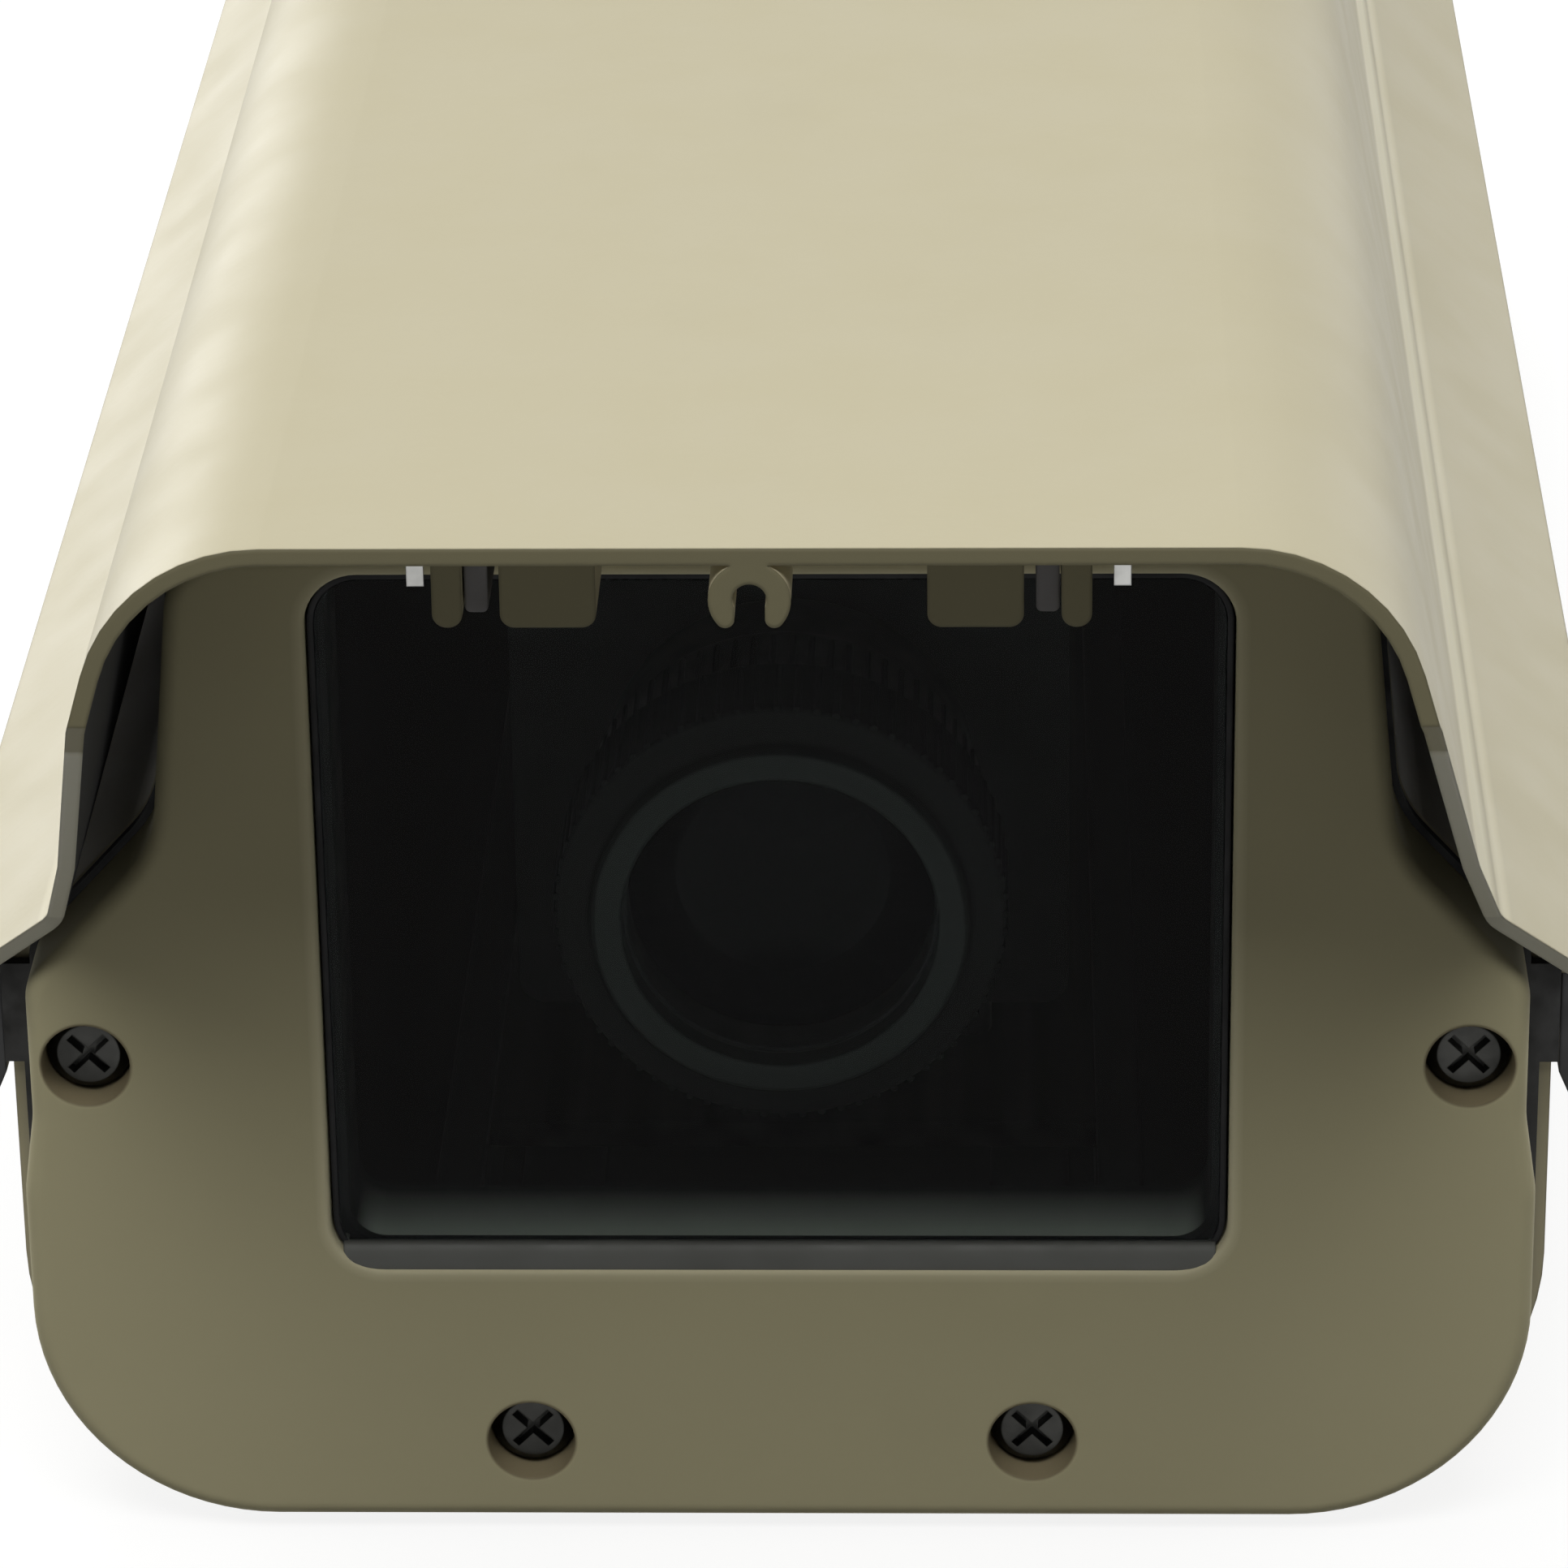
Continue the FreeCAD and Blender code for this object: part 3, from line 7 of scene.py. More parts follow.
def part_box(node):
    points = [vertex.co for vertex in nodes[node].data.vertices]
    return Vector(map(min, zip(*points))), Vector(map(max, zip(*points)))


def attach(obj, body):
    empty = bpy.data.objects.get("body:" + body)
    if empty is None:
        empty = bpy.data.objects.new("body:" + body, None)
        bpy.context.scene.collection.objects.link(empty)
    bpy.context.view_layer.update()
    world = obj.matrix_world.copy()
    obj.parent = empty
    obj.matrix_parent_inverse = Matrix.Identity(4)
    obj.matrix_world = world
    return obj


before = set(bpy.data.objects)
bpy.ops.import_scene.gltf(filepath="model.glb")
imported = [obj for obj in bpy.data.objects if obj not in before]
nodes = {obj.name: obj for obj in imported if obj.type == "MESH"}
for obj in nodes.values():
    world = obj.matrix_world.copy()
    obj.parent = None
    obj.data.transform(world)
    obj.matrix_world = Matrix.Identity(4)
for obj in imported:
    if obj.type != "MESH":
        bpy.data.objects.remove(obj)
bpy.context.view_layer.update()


# Trough. An aluminium extrusion, powder coated in warm beige, that forms the floor and both side walls.
# Its screw ports, seal seats and sled rails come with the extrusion, and its inside is painted near black as
# painted shade.

def new_material(name):
    material = bpy.data.materials.new(name)
    material.use_nodes = True
    tree = material.node_tree
    shader = next(n for n in tree.nodes if n.type == "BSDF_PRINCIPLED")
    return material, tree, shader


def add(tree, kind, **settings):
    """A new node; each setting goes to the input of that name, or else to the property."""
    node = tree.nodes.new(kind)
    for key, value in settings.items():
        if key in node.inputs:
            node.inputs[key].default_value = value
        else:
            setattr(node, key, value)
    return node


def chain(tree, kind, value, *steps):
    """Feeds a value through math nodes, one after another; steps are (operation, second value)."""
    for operation, second in steps:
        step = add(tree, kind, operation=operation)
        tree.links.new(value, step.inputs[0])
        if second is not None:
            step.inputs[1].default_value = second
        value = step.outputs["Value"] if operation == "LENGTH" else step.outputs[0]
    return value


def combine(tree, operation, first, second):
    node = add(tree, "ShaderNodeMath", operation=operation)
    tree.links.new(first, node.inputs[0])
    tree.links.new(second, node.inputs[1])
    return node.outputs[0]


def noise(tree, place, scale, detail=3.0, stretch=(1, 1, 1)):
    """Noise on object coordinates; stretch above 1 packs it closer along that axis."""
    mapping = add(tree, "ShaderNodeMapping", Scale=stretch)
    tree.links.new(place.outputs["Object"], mapping.inputs["Vector"])
    texture = add(tree, "ShaderNodeTexNoise", Scale=scale, Detail=detail)
    tree.links.new(mapping.outputs["Vector"], texture.inputs["Vector"])
    return texture.outputs["Fac"]


def spread(tree, factor, low, high, start=0.35, end=0.65):
    """Goes from low to high as the factor goes from start to end, and stays there beyond."""
    node = add(tree, "ShaderNodeMapRange")
    tree.links.new(factor, node.inputs["Value"])
    for key, value in (("From Min", start), ("From Max", end), ("To Min", low), ("To Max", high)):
        node.inputs[key].default_value = value
    return node.outputs["Result"]


def tint(tree, factor, colour, other):
    """Goes from one colour to another as the factor goes from 0 to 1."""
    mix = tree.nodes.new("ShaderNodeMix")
    mix.data_type = "RGBA"
    tree.links.new(factor, mix.inputs[0])
    for socket, value in ((mix.inputs[6], colour), (mix.inputs[7], other)):
        if isinstance(value, tuple):
            socket.default_value = (*value, 1)
        else:
            tree.links.new(value, socket)
    return mix.outputs[2]


def shade(colour, factor, lift=0.0):
    return tuple(c * factor + lift for c in colour)


def surface(tree, shader, base, rough):
    tree.links.new(base, shader.inputs["Base Color"])
    tree.links.new(rough, shader.inputs["Roughness"])


def relief(tree, shader, parts, soft_edge=0.0):
    """Chains bumps onto the shader; parts are (height, strength, distance)."""
    normal = None
    if soft_edge:
        bevel = add(tree, "ShaderNodeBevel", Radius=soft_edge)
        bevel.samples = 4
        normal = bevel.outputs["Normal"]
    for height, strength, distance in parts:
        bump = add(tree, "ShaderNodeBump", Strength=strength, Distance=distance)
        tree.links.new(height, bump.inputs["Height"])
        if normal is not None:
            tree.links.new(normal, bump.inputs["Normal"])
        normal = bump.outputs["Normal"]
    tree.links.new(normal, shader.inputs["Normal"])


def powder_coat(name, colour, draw_lines=0.0, grain=1.0, specks=0.0, matt=0.0, soft_edge=0.0005, marks=()):
    """Polyester powder coat: fine orange peel, uneven gloss, faint handling marks and draw lines.

    marks are (mask, colour, least roughness) rows; where a mask gives 1, the coat has that colour."""
    material, tree, shader = new_material(name)
    place = tree.nodes.new("ShaderNodeTexCoord")
    cloudy = spread(tree, noise(tree, place, 9, 2), 0.0, 1.0, 0.3, 0.7)
    base = tint(tree, cloudy, colour, shade(colour, 0.975))
    scuff = spread(tree, noise(tree, place, 75, 6, (1, 0.5, 1)), 0.0, 0.12, 0.6, 0.8)
    base = tint(tree, scuff, base, shade(colour, 0.8))
    if specks:
        cells = add(tree, "ShaderNodeTexVoronoi", Scale=31.0)
        tree.links.new(place.outputs["Object"], cells.inputs["Vector"])
        dot = spread(tree, cells.outputs["Distance"], 1.0, 0.0, 0.02, 0.055)
        some = spread(tree, cells.outputs["Color"], 0.0, specks, 0.45, 0.6)
        base = tint(tree, combine(tree, "MULTIPLY", dot, some), base, shade(colour, 0.55))
    rough = spread(tree, noise(tree, place, 90, 3), 0.44 + matt, 0.52 + matt)
    for mask, mark_colour, least in marks:
        where = mask(tree, place)
        base = tint(tree, where, base, mark_colour)
        rough = combine(tree, "MAXIMUM", rough, spread(tree, where, 0.0, least, 0, 1))
    surface(tree, shader, base, rough)
    shader.inputs["Specular IOR Level"].default_value = 0.34 - 1.3 * matt
    parts = [(noise(tree, place, 700 * grain, 2), 0.06, 0.0004)]
    if draw_lines:
        parts.append((noise(tree, place, 420, 2, (1, 0.004, 1)), draw_lines, 0.0002))
    relief(tree, shader, parts, soft_edge)
    return material


def dress(material, *names):
    """Gives CAD nodes their finish."""
    for name in names:
        mesh = nodes[name].data
        mesh.materials.clear()
        mesh.materials.append(material)


def reach_from(tree, place, middle_z, half_width, half_height, corner):
    """Distance from the core of an upright rounded box: on the box's outline it equals the corner radius."""
    core = (half_width - corner, 0, half_height - corner)
    return chain(tree, "ShaderNodeVectorMath", place.outputs["Object"], ("SUBTRACT", (0, 0, middle_z)),
                 ("MULTIPLY", (1, 0, 1)), ("ABSOLUTE", None), ("SUBTRACT", core), ("MAXIMUM", (0, 0, 0)),
                 ("LENGTH", None))


BEIGE = (0.56, 0.508, 0.338)
# Near black painted shade and its roughness, for the insides of the trough and cover and the wings' inner
# faces.
PAINTED_SHADE_BLACK = (0.012, 0.012, 0.012)
PAINTED_SHADE_ROUGH = 0.7
DRAW_LINES = 0.03
TROUGH_CORNER = 0.022
TALLER_THAN_TROUGH = 0.1
MID_WALL = (0.0018, 0.0014)
trough_low, trough_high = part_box("lower_body")


def trough_inside_painted_shade(tree, place):
    """Painted shade: everything more than half a wall in from the outer skin of the walls and of the floor.
    """
    reach = reach_from(tree, place, trough_low[2] + TALLER_THAN_TROUGH, trough_high[0], TALLER_THAN_TROUGH,
                       TROUGH_CORNER)
    return spread(tree, reach, 1.0, 0.0, TROUGH_CORNER - MID_WALL[0], TROUGH_CORNER - MID_WALL[1])


dress(powder_coat("trough coat", BEIGE, DRAW_LINES, marks=[(trough_inside_painted_shade, PAINTED_SHADE_BLACK, PAINTED_SHADE_ROUGH)]),
      "lower_body")


# End plates. Aluminium castings in the same beige coat, a little rougher than the extrusions and painted
# lighter as painted light.
# Each is held by four screws in deep round recesses, with a soft gasket behind it.

OPENING = {"middle_z": 0.0578, "half_width": 0.0380, "half_height": 0.0321, "corner": 0.0045}
OPENING_EDGE = (0.0048, 0.0057)
RECESSES = ((0.0580, 0.0452), (0.0215, 0.0090))
RECESS_WALL = (0.00376, 0.0040)


def opening_rim_painted_highlight(tree, place):
    """Painted highlight: the window opening's rounded edge made lighter."""
    return spread(tree, reach_from(tree, place, **OPENING), 0.75, 0.0, *OPENING_EDGE)


def screw_recesses_painted_shade(tree, place):
    """Painted shade: the walls of the four recesses made darker."""
    marks = []
    for across, height in RECESSES:
        distance = chain(tree, "ShaderNodeVectorMath", place.outputs["Object"], ("MULTIPLY", (1, 0, 1)),
                         ("ABSOLUTE", None), ("SUBTRACT", (across, 0, height)), ("LENGTH", None))
        marks.append(spread(tree, distance, 1.0, 0.0, *RECESS_WALL))
    return combine(tree, "MAXIMUM", *marks)


# The plates' beige is the extrusions' coat painted a little lighter, as painted light.
CAST_BEIGE_PAINTED_LIGHTER, PAINTED_RIM_HIGHLIGHT, PAINTED_RECESS_SHADE = (0.585, 0.535, 0.330), (0.80, 0.74, 0.50), (0.30, 0.25, 0.15)
cast = {"grain": 0.75, "matt": 0.12, "soft_edge": 0.0006}
# Painted shade on the walls of the screw recesses, on both plates.
recess_shade_mark = (screw_recesses_painted_shade, PAINTED_RECESS_SHADE, 0.6)
# Painted highlight along the window opening's rim on the front plate.
dress(powder_coat("front plate coat", CAST_BEIGE_PAINTED_LIGHTER, marks=[(opening_rim_painted_highlight, PAINTED_RIM_HIGHLIGHT, 0.0), recess_shade_mark], **cast),
      "front_plate")
dress(powder_coat("rear plate coat", CAST_BEIGE_PAINTED_LIGHTER, marks=[recess_shade_mark], **cast), "rear_plate")


def rubber(name, colour):
    material, tree, shader = new_material(name)
    place = tree.nodes.new("ShaderNodeTexCoord")
    dusty = spread(tree, noise(tree, place, 120, 5), 0.0, 1.0)
    base = tint(tree, dusty, colour, shade(colour, 1.8, 0.006))
    surface(tree, shader, base, spread(tree, noise(tree, place, 300, 3), 0.62, 0.82))
    relief(tree, shader, [(noise(tree, place, 900, 2), 0.15, 0.0003)])
    return material


dress(rubber("gasket rubber", (0.012, 0.012, 0.012)), "front_gasket", "rear_gasket", "wall_seal_left",
      "wall_seal_right")


def plated_steel(name, colour, rough=(0.28, 0.42)):
    """Plated or oxidised steel: metallic, with fine wear and a patchy film."""
    material, tree, shader = new_material(name)
    place = tree.nodes.new("ShaderNodeTexCoord")
    patch = spread(tree, noise(tree, place, 260, 4), 0.0, 1.0)
    base = tint(tree, patch, colour, shade(colour, 0.72))
    surface(tree, shader, base, spread(tree, noise(tree, place, 700, 3), *rough))
    shader.inputs["Metallic"].default_value = 1.0
    relief(tree, shader, [(noise(tree, place, 1400, 3), 0.12, 0.0001)], 0.0002)
    return material


dress(plated_steel("dark screw plating", (0.045, 0.045, 0.042), (0.3, 0.5)), "front_plate_screws",
      "rear_plate_screws", "hood_screws")


# Window. A black moulded frame sits in the plate's opening and carries a clear toughened pane.
# Two bright spring clips hook over the plate's crown and press the pane's upper edge.

def parts_of(tree, place, output):
    """The X, Y and Z of the object coordinates or of the object's own normals."""
    split = tree.nodes.new("ShaderNodeSeparateXYZ")
    tree.links.new(place.outputs[output], split.inputs[0])
    return split.outputs


def moulding(name, colour, rough=(0.32, 0.45), grain=800.0, bump=0.08, shine=0.5, painted_light=None, painted_light_where=None):
    """Moulded plastic with a fine eroded texture; painted light goes on what faces up, where the given mask
    gives 1.
    """
    material, tree, shader = new_material(name)
    place = tree.nodes.new("ShaderNodeTexCoord")
    tone = spread(tree, noise(tree, place, 60, 3), 0.0, 1.0)
    base = tint(tree, tone, colour, shade(colour, 1.25, 0.003))
    if painted_light:
        lying = spread(tree, parts_of(tree, place, "Normal")["Z"], 0.0, 1.0, 0.5, 0.95)
        base = tint(tree, combine(tree, "MULTIPLY", lying, painted_light_where(tree, place)), base, painted_light)
    surface(tree, shader, base, spread(tree, noise(tree, place, 240, 3), *rough))
    shader.inputs["Specular IOR Level"].default_value = shine
    relief(tree, shader, [(noise(tree, place, grain, 2), bump, 0.0002)], 0.0003)
    return material


BACK_OF_PANE, BACK_OF_LEDGE = -0.1450, -0.1378


def sill_painted_light_mask(tree, place):
    """Painted light on the ledge close behind the pane, fading towards the back of the ledge."""
    return spread(tree, parts_of(tree, place, "Object")["Y"], 1.0, 0.0, BACK_OF_PANE, BACK_OF_LEDGE)


# Painted light: the frame's upward faces just behind the pane are made pale grey, for the lit sill.
dress(moulding("black frame moulding", (0.010, 0.010, 0.0105), (0.6, 0.75), shine=0.2,
               painted_light=(0.46, 0.46, 0.42), painted_light_where=sill_painted_light_mask), "window_frame")


def clear_pane(name, colour, ior, rough):
    """Coated glass; a low index stands for the coating that keeps reflections off it."""
    material, tree, shader = new_material(name)
    shader.inputs["Base Color"].default_value = (*colour, 1)
    shader.inputs["Roughness"].default_value = rough
    shader.inputs["IOR"].default_value = ior
    shader.inputs["Transmission Weight"].default_value = 1.0
    return material


dress(clear_pane("window pane", (0.50, 0.54, 0.525), 1.12, 0.0), "window_glass")
dress(plated_steel("bright clip steel", (0.50, 0.50, 0.48), (0.32, 0.45)), "window_clips")


# Sealing bead. A grey-black silicone bead closes the pane's lower edge against the frame.
# A Geometry Nodes tree sweeps it along the sill, flatter than round and thinning out at both ends.

def new_tree(name, *inputs):
    """A Geometry Nodes tree with named inputs, and a Turn, a Place and a Finish that all have."""
    tree = bpy.data.node_groups.new(name, "GeometryNodeTree")
    tree.interface.new_socket("Geometry", in_out="OUTPUT", socket_type="NodeSocketGeometry")
    for label, kind in inputs + (("Turn", "Vector"), ("Place", "Vector"), ("Finish", "Material")):
        tree.interface.new_socket(label, in_out="INPUT", socket_type="NodeSocket" + kind)
    return tree, tree.nodes.new("NodeGroupInput")


def join(tree, *rows):
    for source, output, target, socket in rows:
        tree.links.new(source.outputs[output], target.inputs[socket])


def repeat_shape(tree, sizes, points, shape, output="Mesh"):
    """Ends a tree: the shape at every point, turned and placed as one, made real, given its finish."""
    copies = tree.nodes.new("GeometryNodeInstanceOnPoints")
    moved = tree.nodes.new("GeometryNodeTransform")
    real = tree.nodes.new("GeometryNodeRealizeInstances")
    finish = tree.nodes.new("GeometryNodeSetMaterial")
    end = tree.nodes.new("NodeGroupOutput")
    join(tree, (points, "Mesh", copies, "Points"), (shape, output, copies, "Instance"),
         (copies, "Instances", moved, "Geometry"), (sizes, "Turn", moved, "Rotation"),
         (sizes, "Place", moved, "Translation"), (moved, "Geometry", real, "Geometry"),
         (real, "Geometry", finish, "Geometry"), (sizes, "Finish", finish, "Material"),
         (finish, "Geometry", end, "Geometry"))
    return tree


def bead_on_a_sill():
    """A flattened round bar along X whose radius is full in the middle and falls off at both ends."""
    tree, sizes = new_tree("bead on a sill", ("Length", "Float"), ("Half height", "Float"),
                           ("Flatness", "Float"))
    once = add(tree, "GeometryNodeMeshLine", Count=1)
    line = add(tree, "GeometryNodeCurvePrimitiveLine", mode="DIRECTION", Direction=(1, 0, 0))
    fine = add(tree, "GeometryNodeResampleCurve", Count=72)
    along = tree.nodes.new("GeometryNodeSplineParameter")
    fullness = chain(tree, "ShaderNodeMath", along.outputs["Factor"],
                     ("SUBTRACT", 0.5), ("ABSOLUTE", None), ("MULTIPLY", 2.0), ("POWER", 12.0),
                     ("SUBTRACT", 1.0), ("ABSOLUTE", None), ("MAXIMUM", 0.002), ("POWER", 0.6))
    taper = tree.nodes.new("GeometryNodeSetCurveRadius")
    tree.links.new(fullness, taper.inputs["Radius"])
    round_section = add(tree, "GeometryNodeCurvePrimitiveCircle", Resolution=20)
    swept = tree.nodes.new("GeometryNodeCurveToMesh")
    swept.inputs["Fill Caps"].default_value = True
    flat = add(tree, "ShaderNodeCombineXYZ", X=1.0, Z=1.0)
    pressed = tree.nodes.new("GeometryNodeTransform")
    join(tree, (sizes, "Length", line, "Length"), (line, "Curve", fine, "Curve"),
         (fine, "Curve", taper, "Curve"), (sizes, "Half height", round_section, "Radius"),
         (taper, "Curve", swept, "Curve"), (round_section, "Curve", swept, "Profile Curve"),
         (sizes, "Flatness", flat, "Y"), (swept, "Mesh", pressed, "Geometry"),
         (flat, "Vector", pressed, "Scale"))
    return repeat_shape(tree, sizes, once, pressed, "Geometry")


def soften(mesh, degrees):
    """Smooth shading, except over edges that turn by more than this."""
    mesh.shade_smooth()
    mesh.set_sharp_from_angle(angle=math.radians(degrees))


def grow(name, tree, body, kind, **chosen):
    """Runs a tree once with the chosen inputs and keeps what it makes as a plain mesh on a body."""
    empty = bpy.data.meshes.new(name)
    piece = bpy.data.objects.new(name, empty)
    bpy.context.scene.collection.objects.link(piece)
    modifier = piece.modifiers.new("grown", "NODES")
    modifier.node_group = tree
    for socket in tree.interface.items_tree:
        if socket.in_out == "INPUT":
            modifier[socket.identifier] = chosen[socket.name.lower().replace(" ", "_")]
    evaluated = piece.evaluated_get(bpy.context.evaluated_depsgraph_get())
    piece.data = bpy.data.meshes.new_from_object(evaluated)
    piece.modifiers.remove(modifier)
    bpy.data.meshes.remove(empty)
    soften(piece.data, 35)
    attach(piece, body)


BEAD_LENGTH, BEAD_OVERLAP = 0.074, 0.0001
UNTURNED = (0.0, 0.0, 0.0)
pane_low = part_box("window_glass")[0]
silicone = moulding("grey silicone", (0.060, 0.061, 0.054), (0.5, 0.62), 500.0, 0.05)
grow("pane_bead", bead_on_a_sill(), "housing", "seal_rubber", length=BEAD_LENGTH, half_height=0.00165,
     flatness=0.62, turn=UNTURNED, finish=silicone,
     place=(-BEAD_LENGTH / 2, pane_low[1] + BEAD_OVERLAP, pane_low[2] - BEAD_OVERLAP))


# Cover. A second extrusion that closes the trough from above and laps over its walls.
# It swings on the left hinges and carries the hood on four screws from inside.

def facing_in(middle_z, least, blend=0.004):
    """Faces that look towards a line along the case's middle; least is how squarely, in metres."""
    def mask(tree, place):
        outwards = chain(tree, "ShaderNodeVectorMath", place.outputs["Object"],
                         ("SUBTRACT", (0, 0, middle_z)), ("MULTIPLY", (1, 0, 1)))
        dot = add(tree, "ShaderNodeVectorMath", operation="DOT_PRODUCT")
        tree.links.new(outwards, dot.inputs[0])
        tree.links.new(place.outputs["Normal"], dot.inputs[1])
        return spread(tree, dot.outputs["Value"], 1.0, 0.0, -least - blend, -least)
    return mask


# Painted shade: the cover's inner faces are made near black, for the dark inside of the case.
cover_inside_painted_shade = (facing_in(middle_z=0.03, least=0.006), PAINTED_SHADE_BLACK, PAINTED_SHADE_ROUGH)
dress(powder_coat("cover coat", BEIGE, DRAW_LINES, marks=[cover_inside_painted_shade]), "cover")
dress(moulding("black tip moulding", (0.012, 0.0125, 0.013), (0.45, 0.6)), "skirt_tips_left",
      "skirt_tips_right")


# Hood. The sunshield is a thin extrusion with flared wings, its front ends sawn back at a rake.
# Two pairs of rails hang from its roof and hold grey slide strips between them.

def hood_fold_painted_highlights(tree, place):
    """Painted highlight: a lighter band below each shoulder of the roof, and a line where each wing flares
    out.
    """
    lines = []
    for height, half_band, strength in ((0.0682, 0.0056, 1.6), (0.0610, 0.0009, 0.5)):
        away = chain(tree, "ShaderNodeMath", parts_of(tree, place, "Object")["Z"],
                     ("SUBTRACT", height), ("ABSOLUTE", None))
        lines.append(spread(tree, away, strength, 0.0, 0.0002, half_band))
    return combine(tree, "MAXIMUM", *lines)


ROOF_ENDS_ABOVE = (0.0905, 0.0915)


def sawn_ends_painted_shade_and_light(roof):
    """The sawn ends facing front: the roof's get painted shade when roof is true, the wings' get painted
    light otherwise.
    """
    def mask(tree, place):
        squarely = chain(tree, "ShaderNodeMath", parts_of(tree, place, "Normal")["Y"], ("ABSOLUTE", None))
        height = parts_of(tree, place, "Object")["Z"]
        there = spread(tree, height, float(not roof), float(roof), *ROOF_ENDS_ABOVE)
        return combine(tree, "MULTIPLY", spread(tree, squarely, 0.0, 1.0, 0.4, 0.6), there)
    return mask


def wing_inside_painted_shade(tree, place):
    """Painted shade: the wings' inner faces made black, far from the middle and facing it."""
    towards = combine(tree, "MULTIPLY", parts_of(tree, place, "Object")["X"],
                      parts_of(tree, place, "Normal")["X"])
    return spread(tree, towards, 1.0, 0.0, -0.030, -0.024)


# Colours for the painted fold highlights, painted shade on the roof's sawn ends, painted light on the wings'
# ends.
PAINTED_FOLD_HIGHLIGHT, PAINTED_SHADE_ROOF_ENDS, PAINTED_LIGHT_WING_ENDS = (0.92, 0.86, 0.62), (0.205, 0.185, 0.105), (0.55, 0.53, 0.42)
# The hood coat carries painted highlights on the folds, painted shade on the wing insides and roof ends,
# painted light on the wing ends.
dress(powder_coat("hood coat", BEIGE, DRAW_LINES, specks=0.16, marks=[
    (hood_fold_painted_highlights, PAINTED_FOLD_HIGHLIGHT, 0.0), (wing_inside_painted_shade, PAINTED_SHADE_BLACK, PAINTED_SHADE_ROUGH),
    (sawn_ends_painted_shade_and_light(roof=True), PAINTED_SHADE_ROOF_ENDS, 0.6), (sawn_ends_painted_shade_and_light(roof=False), PAINTED_LIGHT_WING_ENDS, 0.55)]), "hood")
dress(moulding("grey slide strip", (0.11, 0.105, 0.105), (0.6, 0.72)), "hood_strip_left", "hood_strip_right")


# Hinges. Dark coated steel leaves, riveted to the trough and to the cover's left skirt.
# A headed pin runs through each row of knuckles.

dress(plated_steel("dark hinge steel", (0.16, 0.16, 0.165), (0.4, 0.55)), "hinge_leaf_body_front",
      "hinge_leaf_body_rear", "hinge_leaf_cover_front", "hinge_leaf_cover_rear", "hinge_rivets_body",
      "hinge_rivets_cover")
dress(plated_steel("hinge pin steel", (0.45, 0.45, 0.45)), "hinge_pin_front", "hinge_pin_rear")


# Latches. Pressed steel draw latches on the right: a base with ears, a lever, a wire bail, a keeper.
# The blue-black coat is worn bright on the bail and on the lever's pin.

latch_steel = plated_steel("blue-black latch steel", (0.075, 0.085, 0.115), (0.35, 0.5))
dress(latch_steel, "latch_base_front", "latch_base_rear", "latch_lever_front", "latch_lever_rear",
      "latch_keeper_front", "latch_keeper_rear", "latch_rivets_body", "latch_rivets_cover")
dress(plated_steel("bail wire", (0.30, 0.30, 0.31), (0.25, 0.4)), "latch_bail_front", "latch_bail_rear",
      "latch_pin_front", "latch_pin_rear")


# Thumb ridges. Three ridges are pressed into each latch lever near its free edge, for the thumb.
# A Geometry Nodes tree lays round bars side by side, and each bar is sunk for half its thickness.

QUARTER = math.pi / 2


def bars_in_a_row():
    """Round bars that lie along X and follow each other by a step."""
    tree, sizes = new_tree("bars in a row", ("Count", "Int"), ("Step", "Vector"), ("Length", "Float"),
                           ("Radius", "Float"))
    line = tree.nodes.new("GeometryNodeMeshLine")
    bar = add(tree, "GeometryNodeMeshCylinder", Vertices=12)
    lying = add(tree, "GeometryNodeTransform", Rotation=(0, QUARTER, 0))
    join(tree, (sizes, "Count", line, "Count"), (sizes, "Step", line, "Offset"),
         (sizes, "Length", bar, "Depth"), (sizes, "Radius", bar, "Radius"), (bar, "Mesh", lying, "Geometry"))
    return repeat_shape(tree, sizes, line, lying, "Geometry")


def middle(low, high):
    return [(a + b) / 2 for a, b in zip(low, high)]


RIDGE_IN, RIDGE_UP = 0.0021, 0.0038
row_of_bars = bars_in_a_row()
for end in ("front", "rear"):
    low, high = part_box("latch_lever_" + end)
    grow("thumb_ridges_" + end, row_of_bars, "lever_" + end, "latch_steel", count=3, step=(0.0, 0.0, 0.0016),
         length=0.0118, radius=0.0005, turn=(0.0, 0.0, QUARTER), finish=latch_steel,
         place=(high[0] - RIDGE_IN, middle(low, high)[1], low[2] + RIDGE_UP))


# Camera, lens and sled. A box camera on a block, bolted to a plate that slides between the rails.
# The lens has two turning rings and a coated front element, and a knob clamps the plate.

LENS_HEIGHT = 0.0512
LIP_TO_GRIP = (0.0159, 0.0163)


def black_anodised(name):
    """Black anodised aluminium with fine lengthwise lines."""
    material, tree, shader = new_material(name)
    place = tree.nodes.new("ShaderNodeTexCoord")
    lines = noise(tree, place, 300, 3, (1, 0.02, 1))
    base = tint(tree, spread(tree, lines, 0.0, 1.0), (0.05, 0.05, 0.052), (0.03, 0.03, 0.031))
    surface(tree, shader, base, spread(tree, lines, 0.30, 0.46))
    shader.inputs["Metallic"].default_value = 1.0
    relief(tree, shader, [(lines, 0.12, 0.0002)], 0.0003)
    return material


